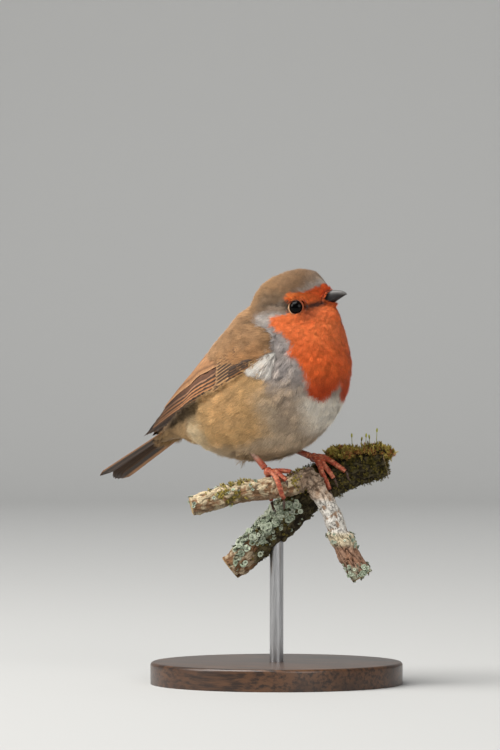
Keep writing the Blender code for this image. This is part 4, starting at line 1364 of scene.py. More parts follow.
def plant_shoulder(name):
    form = wing_forms[name]
    count = SHOULDER_TUFTS
    at = rng.uniform(SHOULDER_FRONT, 42, count)
    turn = rng.uniform(12, 100, count)
    keep = turn > read_off(SHOULDER_EDGE, at) + rng.normal(0, 1.2, count)
    keep &= turn < read_off(SHOULDER_TOP, at)
    reach = form.reach(at, turn)
    keep &= rng.random(count) < reach / 26
    own = to_own(form.place(at, turn, np.zeros(count)))
    collar = own[:, 2] - 49.6 - 0.4 * np.maximum(3.5 - own[:, 0], 0) + rng.normal(0, 0.6, count)
    keep &= (collar < 0) | (own[:, 0] < -7)
    at, turn = at[keep], turn[keep]
    # Near the top the feathers start deeper, so they slip out from under the nape's own coat.
    under = step(16, 2, read_off(SHOULDER_TOP, at) - turn)
    sunk = -0.75 - 1.3 * under
    roots = form.place(at, turn, sunk)
    ahead = form.place(at + 1.0, turn + 0.2, sunk) - roots
    aside = form.place(at, turn + 3.0, sunk) - roots
    ups = unit(np.cross(ahead, aside))
    ups *= np.sign(np.sum(ups * form.way(turn), axis=1))[:, None]
    lie = unit(ahead)
    own = to_own(roots)
    yaw, rise, tone, by_feather, _ = share_out(own, ups, lie, SHOULDER_SPACING, 22, 1.25)
    lie = turned(lie, ups, yaw * 0.7)
    long = read_off(((-2, 3.2), (8, 4.4), (22, 5.4), (32, 4.0)), at) * rng.uniform(0.85, 1.15, len(at))
    ragged = by_feather * 0.5 + rng.normal(0, 0.3, len(at))
    tints = shoulder_tones(at + long * 0.5, turn, ragged) * tone[:, None]
    spots = np.stack(((at + 4) / 66 * 0.96 + 0.02, turn / 110 * 0.96 + 0.02), axis=1)
    planted(f"shoulder_{name}", roots, ups, lie, long, 0.4 + 0.22 * long,
            1.15 * rise * (1 - 0.55 * step(22, 32, at)), tints, spots, "brown_plumage")


for name in ("right", "left"):
    plant_shoulder(name)


# %% Plant the white fan
FAN_START = np.array((6.6, 43.0))
FAN_TIPS = np.array(((-6.5, 35.6), (-4.6, 33.4), (-1.4, 31.6), (4.0, 30.6)))


def plant_fan(name, side):
    ray = np.concatenate((0.36 * rng.random(400), 0.36 + 0.64 * rng.random(210) ** 1.3))
    count = len(ray)
    tip = np.stack([np.interp(ray * 3, range(4), FAN_TIPS[:, k]) for k in (0, 1)], axis=1)
    along = 0.06 + 0.52 * rng.random(count)
    start = FAN_START + (tip - FAN_START) * along[:, None]
    roots, ups = [], []
    for x, z in start:
        begin, way = Vector(to_world((x, side * 60, z))), Vector((0, -side, 0))
        hits = [tree.ray_cast(begin, way) for tree in (*WING_TREES, BODY_TREE)]
        found = min((hit for hit in hits if hit[0] is not None), key=lambda hit: hit[3])
        roots.append(np.array(found[0]))
        ups.append(np.array(found[1]))
    roots, ups = np.array(roots), np.array(ups)
    ups = ups * np.sign(ups[:, 1:2]) * side
    ups = unit(ups + np.array((0, side * 0.8, 0)))
    aim = tip - FAN_START
    aim = np.stack((aim[:, 0], np.zeros(count), aim[:, 1]), axis=1)
    lie = unit(aim - ups * np.sum(aim * ups, axis=1)[:, None])
    lie = turned(lie, ups, rng.normal(0, 0.07, count))
    long = np.linalg.norm(aim, axis=1) * rng.uniform(0.34, 0.42, count)
    lines = np.sin(ray * 34 + 1.5 * along + rng.normal(0, 0.5, count))
    streak = 1 - 0.42 * step(-0.2, 0.9, lines) * step(0.12, 0.6, ray)
    grey = step(0.3, 0.5, ray) * step(-0.6, 0.5, np.sin(ray * 47 + rng.normal(0, 0.4, count)))
    white = blend(FAN_WHITE, BLUE_GREY, grey * 0.85)
    tints = white * np.clip(streak * rng.normal(1, 0.05, count), 0.3, 1.1)[:, None]
    spots = np.stack((ray * 0.9 + 0.05, along * 0.9 + 0.05), axis=1)
    high = 0.95 - 0.75 * ray
    planted(f"fan_{name}", roots - ups * 0.3 * MM, ups, lie, long, 0.3 + 0.14 * long,
            high * rng.uniform(0.8, 1.15, count), tints, spots, "buff_plumage")


for name, side in (("right", -1), ("left", 1)):
    plant_fan(name, side)

# %% [markdown]
# ## The bed under the wing
#
# Between the lowest quills and the flank there must be no light. A thin closed pad of down, painted
# dark brown as shade, fills the room: a grid over the wing's outline, sunk below the quills.

# %% Wing beds
WING_LOWER_EDGE = ((1.5, 36), (2.3, 30), (4.6, 20.5), (10, 15.5), (16, 9.5), (26, 7), (38, 5),
                   (54, 6), (63, 0), (73, 8))
WING_UPPER_EDGE = ((1.5, 40), (6, 46), (17, 52), (25, 56), (40, 62), (50, 64), (60, 66), (73, 62))


BED = 0.5
BED_DEPTH = -1.35
BED_ROWS, BED_COLUMNS = 40, 16
BED_INSET = 2.0


def make_bed(name):
    at = np.linspace(2.0, 66.0, BED_ROWS)
    low = read_off(WING_LOWER_EDGE, at) + BED_INSET
    high = read_off(WING_UPPER_EDGE, at) - BED_INSET
    share = np.linspace(0, 1, BED_COLUMNS)
    turn = low[:, None] + (high - low)[:, None] * share[None, :]
    places = wing_forms[name].place(np.repeat(at[:, None], BED_COLUMNS, axis=1), turn, BED_DEPTH)
    shape, order = grid_shape(BED_ROWS, BED_COLUMNS)
    for vert, place in zip(order, places.reshape(-1, 3)):
        vert.co = place
    bmesh.ops.recalc_face_normals(shape, faces=shape.faces)
    mesh = mesh_from(shape, f"wing_{name}_bed")
    # Painted shade: the pad is dark brown, the shade that lies under the wing.
    tone_points(mesh, paint(72, 58, 46), "plumage")
    thicken(place_piece(f"wing_{name}_bed", mesh, PLUMAGE, "wing_feather"), BED, 0)
    print("wing bed", name, "laid")


for name in ("right", "left"):
    make_bed(name)

# %% [markdown]
# ## The tail
#
# Twelve quills lie in one fan. Seen from above the middle pair covers the rest, and from below the
# outer ones show. They are laid in the tail's own frame, which slopes down and leans to one side.

# %% Tail quills
TAIL_ROLL = math.radians(10)
TAIL_LENGTH = 58.5
TAIL_FALL = math.tan(math.radians(6))


def tail_axes():
    over = np.array((-math.sin(TAIL_SLOPE), 0, math.cos(TAIL_SLOPE)))
    left = np.array((0.0, 1.0, 0.0))
    rolled_left = left * math.cos(TAIL_ROLL) - over * math.sin(TAIL_ROLL)
    rolled_over = over * math.cos(TAIL_ROLL) + left * math.sin(TAIL_ROLL)
    return rolled_left, rolled_over


TAIL_LEFT, TAIL_OVER = tail_axes()


def tail_surface(side):
    def surface(at, across, offset, high):
        aside = across - offset
        flat = TAIL_ROOT + at[..., None] * TAIL_BACK + (side * aside)[..., None] * TAIL_LEFT
        return to_world(flat + (high - np.abs(aside) * TAIL_FALL)[..., None] * TAIL_OVER)

    return surface


TAIL_DARK = paint(60, 45, 33)
TAIL_LIGHT = paint(176, 128, 88)


def make_tail():
    quills = Stack()
    for side in (-1, 1):
        for k in range(6):
            share = k / 5
            tip_along = TAIL_LENGTH - 3.0 + 3.0 * math.sin(math.pi * (0.12 + 0.72 * share))
            root = (11, 0.7 + 0.5 * k)
            tip = (tip_along, 1.6 + 5.0 * share)
            edge = TAIL_LIGHT if k == 5 else TAIL_DARK + (TAIL_LIGHT - TAIL_DARK) * 0.45
            tones = (edge, TAIL_DARK, TAIL_DARK * 0.9, SHAFT)
            outer, rim = (2.1, (0.0, -0.45)) if k == 5 else (1.7, (-0.3, -0.8))
            quills.lay(tail_surface(side), (root, tip), (outer, 2.8), 0.42 - 0.16 * k, tones,
                       pointed=0.1, camber=0.12, rim=rim)
    quills.build("tail_quills", "tail_feather", ("tail_left", "tail_right"))


make_tail()

# %% [markdown]
# ## Legs, feet and claws
#
# A songbird's shank is sheathed in a few long plates and its toes in short ones, with bare skin
# that creases between them. The frame's legs are fused into fine meshes, and the plates are pressed
# in along each limb.


# %% Scaled skin
def scale_finish():
    material, tree, shader = finish("scaled_skin", Roughness=0.42, Specular_IOR_Level=0.45,
                                    Subsurface_Weight=0.12, Subsurface_Scale=0.6 * MM)
    crease = ramp(tree, beads(tree, 0.3 * MM, "DISTANCE_TO_EDGE"), 0.0, 0.16)
    shade = mixed(tree, crease, (0.78, 0.72, 0.7), (1.04, 1.03, 1.02))
    colour_with(tree, shader, mixed(tree, 1.0, own_tone(tree), shade, "MULTIPLY"))
    raise_bumps(tree, shader, crease, 0.03 * MM)
    return material


def claw_finish():
    material, tree, shader = finish("claw_horn", Roughness=0.3)
    streaks = ramp(tree, grain(tree, 0.4 * MM, 3), 0.3, 0.7)
    colour_with(tree, shader, mixed(tree, streaks, paint(44, 30, 24), paint(96, 70, 56)))
    return material


SCALES, CLAW_HORN = scale_finish(), claw_finish()
LIMB_SWELL = 0.12 * MM
LIMB_VOXEL = 0.15 * MM
SHANK_PLATE = 4.4
TOE_PLATE = 0.95


def make_limb(side):
    """Shank and toes in one skin, with plates pressed in by their distance from the knuckle."""
    nodes = (f"tarsus_{side}", f"foot_{side}")
    mesh = remeshed(fused(nodes, LIMB_SWELL), LIMB_VOXEL, 3)
    places, out = points_of(mesh)
    own = to_own(places)
    knuckle, ankle = np.array(KNUCKLES[side]), np.array(ANKLES[side])
    away = np.linalg.norm(own - knuckle, axis=1)
    shin = unit(ankle - knuckle)
    up_shank = (own - knuckle) @ shin
    off_shank = np.linalg.norm(own - knuckle - up_shank[:, None] * shin, axis=1)
    on_shank = step(2.0, 4.2, up_shank) * (off_shank < BARE_ROUND_SHANK)
    part_way = np.where(on_shank > 0.5, (up_shank - 3.1) / SHANK_PLATE, away / TOE_PLATE) % 1.0
    plate = 1 - part_way**3 - step(0.12, 0.0, part_way)
    above = step(-0.35, 0.25, out[:, 2] + 0.4 * on_shank)
    push = (0.11 * plate - 0.06) * above * (1 - 0.75 * on_shank)
    push += 0.08 * wander(own, 0.7, 41) * (1 - on_shank) - 0.06 * on_shank
    push_out(mesh, places, out, push)
    groove = np.maximum(step(0.16, 0.0, part_way), step(0.9, 1.0, part_way)) * above
    toe = blend(paint(186, 84, 56), paint(222, 138, 104),
                step(-0.3, 0.5, wander(own, 1.3, 42)))
    # Painted light and shade: the shank is pale on the side that faces the light and dark on the
    # other.
    shank = blend(paint(128, 74, 58), paint(206, 174, 152),
                  step(-0.45, 0.35, out @ unit(np.array((0.5, -0.3, 0.8)))))
    shank = blend(shank, paint(190, 92, 64), step(9, 3.5, up_shank))
    # Painted shade: the far leg is darker and redder, as if in shade.
    if side == "left":
        shank = shank * 0.8 * np.array((1.0, 0.8, 0.72))
    tone = blend(toe, shank, on_shank)
    tone = blend(tone, paint(74, 30, 22), groove * (0.85 - 0.45 * on_shank))
    ruddy = step(0.1, 0.5, wander(own, 0.9, 43)) * (1 - on_shank)
    tone = blend(tone, paint(120, 46, 32), ruddy * 0.5)
    # Painted shade: the limb is darker where it faces down.
    tone = blend(tone, paint(96, 58, 44), step(0.0, -0.7, out[:, 2]) * 0.4)
    tone_points(mesh, tone)
    place_piece(f"leg_{side}", mesh, SCALES, "leg", nodes)


def make_claws():
    for side in ("left", "right"):
        for toe in ("inner", "middle", "outer", "hind"):
            node = f"claw_{side}_{toe}"
            claw = rounded(welded(node), node)
            place_piece(f"talon_{side}_{toe}", claw, CLAW_HORN, "claw", (node,))


for side in ("left", "right"):
    make_limb(side)
make_claws()
print("legs and claws are made")

# %% [markdown]
# ## The branch
#
# Old wood is never smooth: the bark is fissured along the grain, blistered with lichen and furred
# with moss on top. The frame's branches are remeshed finely and their skin is pushed in and out by
# layered noise, so that the roughness is real and shows at the outline.

# %% The run of each branch
BRANCH_TURN = math.radians(30)
# Stations along each branch: along the perch, away from the near side, up, and radius, in mm.
BOUGH_RUN = ((-20, 6, -36, 4.9), (-7.6, 5.6, -25.8, 5.5), (2.5, 5.2, -15.5, 6.3), (10.5, 5, -6, 7.2),
             (18.5, 4.6, -2.6, 6.8), (27.5, 4.5, 0.2, 5.9), (36.5, 4.5, 2.6, 5.2))
BRANCH_RUN = ((-34, -12, -12.8, 3.6), (-25, -11, -10.4, 3.9), (-14.6, -9.3, -7.5, 4.0),
              (-6.3, -7.9, -6.7, 4.0), (2.5, -6.2, -5.4, 4.0), (8.6, -5.6, -3.0, 4.3),
              (12.4, -7.2, -8.4, 3.4), (16.7, -8.4, -15.4, 3.5), (19.2, -8.8, -22.3, 3.7),
              (23, -9.8, -30.2, 4.0), (27.8, -10.8, -38.3, 4.1))
KNOT_AT = 5
PERCH_ALONG = np.array((math.cos(BRANCH_TURN), math.sin(BRANCH_TURN), 0))
PERCH_AWAY = np.array((-math.sin(BRANCH_TURN), math.cos(BRANCH_TURN), 0))


def run_points(run):
    return np.array([PERCH_ALONG * row[0] + PERCH_AWAY * row[1] + np.array((0, 0, row[2]))
                     for row in run])


def branch_places(own, run):
    """How far along the branch each place lies, the way out from its core, and how far off, in mm."""
    points = run_points(run)
    best = np.full(len(own), 1e9)
    along, out = np.zeros(len(own)), np.zeros((len(own), 3))
    way_at = np.zeros((len(own), 3))
    gone = 0.0
    for start, end in zip(points, points[1:]):
        way = end - start
        share = np.clip((own - start) @ way / (way @ way), 0, 1)
        off = own - start - share[:, None] * way
        far = np.linalg.norm(off, axis=1)
        closer = far < best
        best[closer] = far[closer]
        along[closer] = gone + share[closer] * np.linalg.norm(way)
        out[closer] = off[closer]
        way_at[closer] = way / np.linalg.norm(way)
        gone += np.linalg.norm(way)
    up = np.array((0.0, 0.0, 1.0))
    beside = unit(np.cross(way_at, up))
    over = np.cross(beside, way_at)
    turn = np.arctan2(np.sum(out * over, axis=1), np.sum(out * beside, axis=1))
    return along, turn, best


# %% Bark
def bark_finish():
    """Bark in the piece's own tones, with fine crumbs and pores."""
    material, tree, shader = finish("bark", Roughness=0.92, Specular_IOR_Level=0.15)
    fine = grain(tree, 0.45 * MM, 5, 0.7)
    wide = grain(tree, 2.4 * MM, 4, 0.6)
    tone = mottled(tree, own_tone(tree), fine, (0.3, 0.7), (0.62, 0.6, 0.58), (1.22, 1.22, 1.2))
    tone = mottled(tree, tone, wide, (0.3, 0.7), (0.86, 0.85, 0.84), (1.1, 1.1, 1.08))
    colour_with(tree, shader, tone)
    raise_bumps(tree, shader, fine, 0.35 * MM, 0.9)
    return material


BARK = bark_finish()
WOOD_PALE, WOOD_RING = paint(206, 178, 132), paint(164, 128, 84)
WOOD_RING_WIDTH = 0.62


def grow_bark(node, run, name, voxel, tones_of):
    """A branch with cracks, flakes and lumps pushed into its skin, and bare wood where it is cut."""
    mesh = remeshed(welded(node), voxel * MM, 1)
    places, facing = points_of(mesh)
    own = to_own(places)
    along, turn, off = branch_places(own, run)
    radius = np.median(off)
    fissure_long, fissure_wide = 4.2, 1.25
    flat = np.stack((along / fissure_long, np.cos(turn) * radius / fissure_wide,
                     np.sin(turn) * radius / fissure_wide), axis=1)
    ribs = np.array([noise.noise(Vector(place) + Vector((3.1, 7.7, 1.3))) for place in flat])
    crack = step(0.16, 0.02, np.abs(ribs))
    flakes = wander(own, 2.2, 52) + 0.5 * wander(own, 1.0, 53)
    shelf = np.floor(flakes * 4) / 4 * 0.5 + flakes * 0.5
    lumps = wander(own, 5.5, 54)
    ends = run_points(run)
    cut = np.zeros(len(own))
    for tip, before in ((ends[0], ends[1]), (ends[-1], ends[-2])):
        way = unit(tip - before)
        past = (own - tip) @ way
        cut = np.maximum(cut, step(0.62, 0.85, facing @ way) * step(-2.2, -0.8, past))
    push, tone = tones_of(own, crack, flakes, facing)
    push_out(mesh, places, facing, (push + 0.45 * lumps + 0.42 * shelf - 0.4 * crack) * (1 - cut))
    rings = np.sin(off * 2 * math.pi / WOOD_RING_WIDTH + 1.2 * wander(own, 2.0, 55))
    wood = blend(WOOD_PALE, WOOD_RING, step(0.1, 0.9, rings) * 0.7)
    wood = blend(wood, WOOD_RING * 0.5, step(0.6, 0.2, off))
    wood = blend(wood, paint(88, 66, 46), step(radius * 0.84, radius * 0.95, off))
    tone_points(mesh, np.clip(blend(tone, wood, cut), 0, 1))
    place_piece(name, mesh, BARK, "bark", (node,))
    print(name, len(mesh.polygons) * 2, "triangles")
    return mesh


def branch_tones(own, crack, flakes, facing):
    """The held branch: cream crust on tan, a wrinkled knot, then a white and a cracked stretch."""
    z = own[:, 2]
    knot = run_points(BRANCH_RUN)[KNOT_AT]
    to_knot = np.linalg.norm(own - knot, axis=1)
    left = step(-1.0, -4.0, (own - knot) @ PERCH_ALONG)
    tan, cream = paint(158, 122, 92), paint(220, 202, 170)
    tone = blend(tan, cream, step(-0.35, 0.25, flakes + 0.35 * facing[:, 2]))
    down = blend(paint(170, 142, 120), paint(214, 194, 176), step(-0.4, 0.3, flakes))
    whitish = step(-9.5, -12, z) * step(-24.5, -22.5, z)
    specks = step(0.38, 0.5, wander(own, 0.55, 61))
    white = blend(paint(234, 230, 224), paint(40, 38, 36), specks * 0.85)
    down = blend(down, white, whitish * step(-0.55, -0.2, flakes))
    collar = step(-21.5, -23.5, z) * step(-28.5, -26.5, z)
    down = blend(down, paint(220, 206, 176), collar * 0.8)
    bare = step(-26.5, -28.5, z) * step(-36.5, -34.5, z)
    down = blend(down, paint(158, 116, 92), bare * 0.8)
    lower = step(-34.0, -36.0, z)
    down = blend(down, paint(182, 184, 160), lower * step(-0.3, 0.3, flakes))
    tone = blend(down, tone, left)
    near_knot = step(8.5, 5.0, to_knot)
    rings = np.sin(to_knot * 2 * math.pi / 1.25 + 1.5 * wander(own, 2.5, 62))
    tone = blend(tone, paint(168, 146, 126), near_knot * 0.8)
    tone = blend(tone, paint(70, 52, 40), near_knot * step(0.35, 0.95, rings) * 0.7)
    mossy = left * spot((own - knot) @ PERCH_ALONG + 28.5, 5.5)
    tone = blend(tone, paint(92, 88, 38), mossy * step(-0.25, 0.15, wander(own, 2.4, 63)) * 0.9)
    tone = blend(tone, paint(60, 44, 34), crack * 0.6)
    # Painted shade: the branch is darker where it faces down.
    tone = blend(tone, tone.mean(axis=0) * 0.45, step(-0.2, -0.9, facing[:, 2]) * 0.5)
    push = 0.8 * collar + 0.3 * near_knot * rings - 0.5 * bare * crack + 0.25 * lower * flakes
    return push, tone


def bough_tones(own, crack, flakes, facing):
    """The bough behind: dark and mossy, with tan bark at its lower end."""
    side = own @ PERCH_ALONG
    dark = blend(paint(44, 38, 28), paint(92, 84, 60), step(-0.3, 0.5, flakes))
    tan = blend(paint(138, 104, 76), paint(204, 184, 156), step(-0.1, 0.4, flakes))
    tone = blend(dark, tan, step(-8.5, -13, side + 2.5 * flakes))
    green = step(0.0, 0.35, wander(own, 3.0, 71)) * step(-0.4, 0.3, facing[:, 2])
    tone = blend(tone, paint(78, 76, 34), green * 0.8 * step(-15, -10, side))
    crust = step(0.1, 0.3, wander(own, 3.2, 72)) * step(-0.2, 0.3, facing[:, 2]) * step(10, 2, side)
    tone = blend(tone, paint(160, 170, 148), crust * 0.75)
    tone = blend(tone, paint(30, 24, 18), crack * 0.65)
    return 0.35 * flakes, tone


branch_mesh = grow_bark("perch_branch", BRANCH_RUN, "branch", 0.32, branch_tones)
bough_mesh = grow_bark("perch_bough", BOUGH_RUN, "bough", 0.36, bough_tones)

# %% [markdown]
# ## Moss and lichen
#
# Moss is a crowd of leafy stems and leafy lichen a crowd of small curled lobes. Each is one pattern
# of a few strips, planted many times where the air is damp: on top of the wood and in its forks.


# %% Patterns for sprigs and lobes
LEAVES = 12
LOBES_EACH = 7
GOLDEN_TURN = 2.4


def leaning_out(turn, reach, aside, lift):
    """A place at a reach in the direction of turn, so far aside of it, and lifted."""
    return (reach * math.cos(turn) - aside * math.sin(turn),
            reach * math.sin(turn) + aside * math.cos(turn), lift)


def sprig_pattern():
    spin = rng.random() * 6.28

    def leaf(k, across, share):
        up_stem = k / (LEAVES - 1)
        reach = share * (0.62 - 0.3 * up_stem)
        half = 0.13 * (1 - share) + 0.02
        lift = 0.12 + 0.88 * up_stem + 0.34 * share
        return leaning_out(spin + k * GOLDEN_TURN, reach, across * half, lift)

    return strips(LEAVES, 1, leaf)


def lobe_pattern():
    spin = rng.random() * 6.28
    tilt = rng.uniform(0.4, 0.9, LOBES_EACH)

    def lobe(k, across, share):
        turn = spin + k * 6.283 / LOBES_EACH + 0.2 * math.sin(k * 5.1)
        reach = share * (0.75 + 0.3 * tilt[k])
        half = 0.12 + 0.34 * math.sin(min(share * 1.25, 1.0) * math.pi * 0.62)
        lift = tilt[k] * math.sin(share * 2.2) + 0.18 * across * across * share
        return leaning_out(turn, reach, across * half, lift)

    return strips(LOBES_EACH, 3, lobe)


SPRIGS = [sprig_pattern() for _ in range(4)]
LOBES = [lobe_pattern() for _ in range(5)]
print("a sprig has", len(SPRIGS[0][2]) * 2, "triangles and a lobe", len(LOBES[0][2]) * 2)


def growth_finish(name, roughness):
    material, tree, shader = finish(name, Roughness=roughness, Specular_IOR_Level=0.15)
    fine = grain(tree, 0.4 * MM, 3)
    tone = own_tone(tree, "plumage")
    tone = mottled(tree, tone, fine, (0.3, 0.7), (0.74, 0.74, 0.72), (1.18, 1.18, 1.14))
    colour_with(tree, shader, tone)
    return material


MOSS, LICHEN = growth_finish("moss", 0.8), growth_finish("lichen", 0.9)
SPRIG_KIND = (SPRIGS, MOSS, "moss")
LOBE_KIND = (LOBES, LICHEN, "bark")


def grow(name, kind, mesh, count, weight_of, size, height, colours, upright):
    """Plants sprigs or lobes on a mesh, thickest where weight_of is high."""
    patterns, material, slot = kind
    middles, out = skin_faces(mesh)
    weight = np.maximum(weight_of(to_own(middles), out), 0)
    pick = rng.choice(len(middles), count, p=weight / weight.sum())
    ups = unit(out[pick] + np.array((0, 0, upright)) + rng.normal(0, 0.22, (count, 3)))
    along = unit(np.cross(ups, rng.normal(0, 1, (count, 3))))
    wide = rng.uniform(*size, count)
    tints = blend(*colours, rng.random(count)) * rng.normal(1, 0.14, (count, 1))
    planted(name, middles[pick], ups, along, wide, wide, rng.uniform(*height, count), tints,
            rng.random((count, 2)), slot, material, patterns)


# %% The moss cushion
def make_moss():
    cushion = remeshed(welded("perch_moss"), 0.4 * MM, 2)
    places, facing = points_of(cushion)
    own = to_own(places)
    push = 1.3 * wander(own, 3.4, 81) + 0.6 * wander(own, 1.6, 82) - 1.3
    push_out(cushion, places, facing, push)
    tone_points(cushion, paint(46, 36, 20), "plumage")
    place_piece("moss_cushion", cushion, MOSS, "moss", ("perch_moss",))

    def clumps(own, out):
        return step(-0.5, 0.5, wander(own, 3.0, 83)) * step(-0.9, 0.0, out[:, 2]) + 0.08

    greens = (paint(168, 150, 64), paint(236, 214, 122))
    browns = (paint(172, 106, 60), paint(228, 170, 104))
    grow("moss_green", SPRIG_KIND, cushion, 1200, clumps, (0.9, 1.6), (0.9, 2.4), greens, 0.6)
    grow("moss_brown", SPRIG_KIND, cushion, 1200, clumps, (0.8, 1.4), (0.8, 2.0), browns, 0.5)

    def on_bough(own, out):
        side = own @ PERCH_ALONG
        damp = step(-14, -8, side) * step(0.0, 0.5, wander(own, 3.0, 71) + 0.2)
        return damp * step(-0.6, 0.4, out[:, 2]) + 0.25 * step(14, 20, side)

    dull = (paint(92, 84, 40), paint(150, 134, 70))
    grow("moss_on_bough", SPRIG_KIND, bough_mesh, 1300, on_bough, (0.6, 1.1), (0.6, 1.3), dull, 0.2)

    def on_branch(own, out):
        side = own @ PERCH_ALONG
        patch = spot(side + 20, 4.5) + 0.5 * spot(side - 3.5, 2.0)
        return patch * step(-0.2, 0.3, wander(own, 2.4, 63)) * step(-0.7, 0.5, out[:, 2])

    grow("moss_on_branch", SPRIG_KIND, branch_mesh, 480, on_branch, (0.6, 1.0), (0.5, 1.1), greens,
         0.2)


# %% Lichen
def make_lichen():
    def on_bough(own, out):
        side = own @ PERCH_ALONG
        facing = out @ unit(-0.6 * PERCH_ALONG - 0.35 * PERCH_AWAY + np.array((0, 0, 0.8)))
        place = step(-19, -15, side) * step(9, 5, side)
        return place * step(0.15, 0.8, facing) * step(-0.35, 0.2, wander(own, 3.4, 72))

    pale = (paint(150, 162, 140), paint(206, 212, 194))
    grow("lichen_on_bough", LOBE_KIND, bough_mesh, 300, on_bough, (0.9, 1.6), (0.8, 1.7), pale, 0.15)
    grow("lichen_crumbs", LOBE_KIND, bough_mesh, 620, on_bough, (0.35, 0.85), (0.4, 1.2), pale, 0.35)

    def on_branch(own, out):
        side = own @ PERCH_ALONG
        low = step(-33, -36, own[:, 2]) + 0.6 * spot(own[:, 2] + 25, 1.6)
        left = step(-8, -12, side) * 0.12
        return (low + left) * step(-0.2, 0.3, wander(own, 2.0, 91)) * step(-0.8, 0.2, out[:, 2])

    grow("lichen_on_branch", LOBE_KIND, branch_mesh, 170, on_branch, (0.5, 0.9), (0.35, 0.8), pale,
         0.0)


make_moss()
make_lichen()


# %% Spore stalks
# (along the perch, away, up at the foot, height) in mm, and lean
STALKS = ((24.6, 1.5, 6.5, 5.5, -0.05), (27.5, 2.5, 6.5, 4.2, 0.12), (29.2, 1.0, 6.0, 6.0, 0.06),
          (31.2, 2.0, 6.5, 5.0, -0.1), (33.2, 1.2, 6.5, 7.4, 0.04))


def make_stalks():
    """A few hair-thin stalks with capsules stand up from the cushion."""
    shape = bmesh.new()
    for side, away, foot, tall, lean in STALKS:
        low = PERCH_ALONG * side + PERCH_AWAY * away + np.array((0, 0, foot))
        high = low + PERCH_ALONG * lean * tall + np.array((0, 0, tall))
        way = Vector(high - low)
        turn = way.to_track_quat("Z", "Y").to_matrix().to_4x4()
        middle = Matrix.Translation(Vector(to_world((low + high) / 2)))
        bmesh.ops.create_cone(shape, cap_ends=True, segments=6, radius1=0.16 * MM, radius2=0.1 * MM,
                              depth=way.length * MM, matrix=middle @ turn)
        tip = Matrix.Translation(Vector(to_world(high + np.array((0, 0, 0.5)))))
        capsule = tip @ turn @ Matrix.Diagonal((0.34, 0.34, 0.85, 1))
        bmesh.ops.create_uvsphere(shape, u_segments=8, v_segments=6, radius=MM, matrix=capsule)
    mesh = mesh_from(shape, "spore_stalks")
    own = to_own(points_of(mesh)[0])
    tone = blend(paint(96, 84, 34), paint(170, 170, 70), step(10, 13, own[:, 2]))
    tone_points(mesh, tone, "plumage")
    place_piece("spore_stalks", mesh, MOSS, "moss")


make_stalks()
print("stalks:", len(STALKS))

# %% [markdown]
# ## The display stand
#
# A plain turned disc of dark wood and one steel rod. The disc is a profile spun round its axis.


# %% Base and rod
def wood_finish():
    material, tree, shader = finish("stand_wood", Roughness=0.38, Coat_Weight=0.3, Coat_Roughness=0.25)
    fibre = grain(tree, 1.4 * MM, 6, 0.65, (0.08, 1, 1))
    broad = grain(tree, 11 * MM, 3, 0.5, (0.18, 1, 1))
    tone = mixed(tree, ramp(tree, broad, 0.3, 0.7), paint(62, 40, 26), paint(96, 64, 40))
    tone = mixed(tree, ramp(tree, fibre, 0.42, 0.62), tone, paint(44, 28, 18))
    colour_with(tree, shader, tone)
    raise_bumps(tree, shader, fibre, 0.06 * MM, 0.4)
    return material


def steel_finish():
    material, tree, shader = finish("brushed_steel", Metallic=1.0, Roughness=0.32)
    lines = grain(tree, 0.35 * MM, 3, 0.6, (1, 1, 0.03))
    tone = mixed(tree, ramp(tree, lines, 0.3, 0.7), (0.42, 0.42, 0.43), (0.6, 0.6, 0.61))
    colour_with(tree, shader, tone)
    raise_bumps(tree, shader, lines, 0.02 * MM, 0.5)
    return material


SHARP = math.radians(40)
EASE = 1.2 * MM


def quarter_round(x, z, radius, steps, side):
    """Places on a quarter circle round (x, z), from the one straight up or, at side -1, down."""
    turns = [math.pi / 2 * k / steps for k in range(steps + 1)]
    return [(x + radius * math.sin(turn), z + side * radius * math.cos(turn)) for turn in turns]


def drawn(shape, places):
    """A line of points and the edges between them."""
    line = [shape.verts.new(place) for place in places]
    return line, [shape.edges.new(pair) for pair in zip(line, line[1:])]


def make_stand():
    low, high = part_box("stand_base")
    centre = (low + high) / 2
    radius, height = (high.x - low.x) / 2, high.z - low.z
    print("the base is", round(2 * radius / MM), "mm wide")
    eased = quarter_round(radius - EASE, height - EASE, EASE, 6, 1)
    profile = ((0.0, height), *eased, (radius, 0.0), (0.0, 0.0))
    shape = bmesh.new()
    line, edges = drawn(shape, [(centre.x + x, centre.y, low.z + z) for x, z in profile])
    bmesh.ops.spin(shape, geom=line + edges, cent=(centre.x, centre.y, 0), axis=(0, 0, 1),
                   angle=2 * math.pi, steps=96, use_merge=True)
    bmesh.ops.remove_doubles(shape, verts=shape.verts, dist=0.001 * MM)
    bmesh.ops.recalc_face_normals(shape, faces=shape.faces)
    mesh = mesh_from(shape, "turned_base")
    mesh.set_sharp_from_angle(angle=SHARP)
    place_piece("stand_turned_base", mesh, wood_finish(), "stand_wood", ("stand_base",))

    low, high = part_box("stand_rod")
    centre = (low + high) / 2
    shape = bmesh.new()
    radius = (high.x - low.x) / 2
    bmesh.ops.create_cone(shape, cap_ends=True, segments=48, radius1=radius, radius2=radius,
                          depth=high.z - low.z, matrix=Matrix.Translation(centre))
    mesh = mesh_from(shape, "steel_rod")
    mesh.set_sharp_from_angle(angle=SHARP)
    place_piece("stand_steel_rod", mesh, steel_finish(), "stand_steel", ("stand_rod",))


make_stand()

# %% [markdown]
# ## The studio
#
# A pale sweep of floor and wall, a broad soft light from above and in front, a weaker one from the
# other side and a low grey sky. The camera stands level with the bird and far off.


# %% Floor and backdrop
CAMERA_TURN = math.radians(30)
BACK, FRONT, HALF, RISE = 2.8, -2.8, 2.8, 3.0
CORNER = 0.5


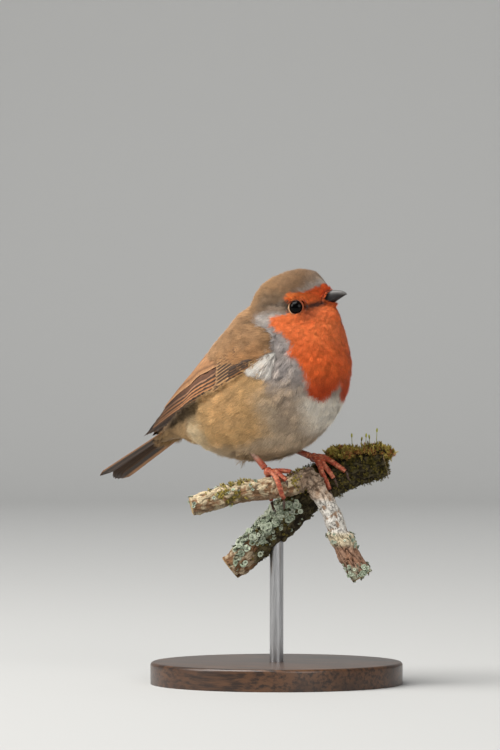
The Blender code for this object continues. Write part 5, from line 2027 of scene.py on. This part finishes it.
def make_stage():
    bend = quarter_round(BACK - CORNER, CORNER, CORNER, 12, -1)
    shape = bmesh.new()
    profile = [(-HALF, y, z) for y, z in ((FRONT, 0.0), *bend, (BACK, RISE))]
    edges = drawn(shape, profile)[1]
    moved = bmesh.ops.extrude_edge_only(shape, edges=edges)["geom"]
    far = [item for item in moved if isinstance(item, bmesh.types.BMVert)]
    bmesh.ops.translate(shape, verts=far, vec=(2 * HALF, 0, 0))
    shape.transform(Matrix.Rotation(CAMERA_TURN, 4, "Z"))
    bmesh.ops.recalc_face_normals(shape, faces=shape.faces)
    sweep = bpy.data.objects.new("sweep", mesh_from(shape, "sweep"))
    bpy.context.scene.collection.objects.link(sweep)
    material = finish("pale_paper", Roughness=0.95, Base_Color=(0.52, 0.52, 0.51, 1))[0]
    sweep.data.materials.append(material)


make_stage()
print("the sweep stands", BACK, "m behind the model")


# %% Lights
def soft_light(name, place, aim, size, power, colour=(1, 1, 1)):
    light = bpy.data.lights.new(name, "AREA")
    light.shape = "DISK"
    light.size = size
    light.energy = power
    light.color = colour
    lamp = bpy.data.objects.new(name, light)
    bpy.context.scene.collection.objects.link(lamp)
    lamp.location = place
    lamp.rotation_euler = (Vector(aim) - Vector(place)).to_track_quat("-Z", "Y").to_euler()


MIDDLE = (0, 0, 0.11)
soft_light("sky", (-0.45, -0.6, 1.5), MIDDLE, 1.3, 34, (1.0, 0.99, 0.97))
soft_light("window", (-1.1, -1.0, 0.8), MIDDLE, 0.8, 10, (1.0, 0.97, 0.93))
soft_light("fill", (1.3, -0.9, 0.75), MIDDLE, 1.0, 9.0, (1.0, 0.99, 0.97))
soft_light("backdrop", (-0.7, 1.2, 1.9), (-1.4, 2.4, 0.5), 1.2, 15)
SKY_STRENGTH = 0.19
world = bpy.data.worlds.new("grey_sky")
bpy.context.scene.world = world
world.use_nodes = True
world.node_tree.nodes["Background"].inputs["Color"].default_value = (0.92, 0.94, 0.96, 1)
world.node_tree.nodes["Background"].inputs["Strength"].default_value = SKY_STRENGTH
bpy.context.scene.view_settings.view_transform = "Standard"

# %% Camera
CAMERA_FAR = 1.6
PICTURE_HEIGHT = 272.7 * MM
SENSOR = 36.0
camera_data = bpy.data.cameras.new("camera")
camera = bpy.data.objects.new("camera", camera_data)
bpy.context.scene.collection.objects.link(camera)
aim = FEET + Vector((-11.0, -6.35, 34.5)) * MM
towards = Vector((math.sin(CAMERA_TURN), -math.cos(CAMERA_TURN), 0.0))
camera.location = aim + towards * CAMERA_FAR
camera.rotation_euler = (-towards).to_track_quat("-Z", "Y").to_euler()
camera_data.sensor_width = SENSOR
camera_data.lens = SENSOR * CAMERA_FAR / PICTURE_HEIGHT
camera_data.clip_start, camera_data.clip_end = 0.05, 20
bpy.context.scene.camera = camera
print("focal length", round(camera_data.lens), "mm")
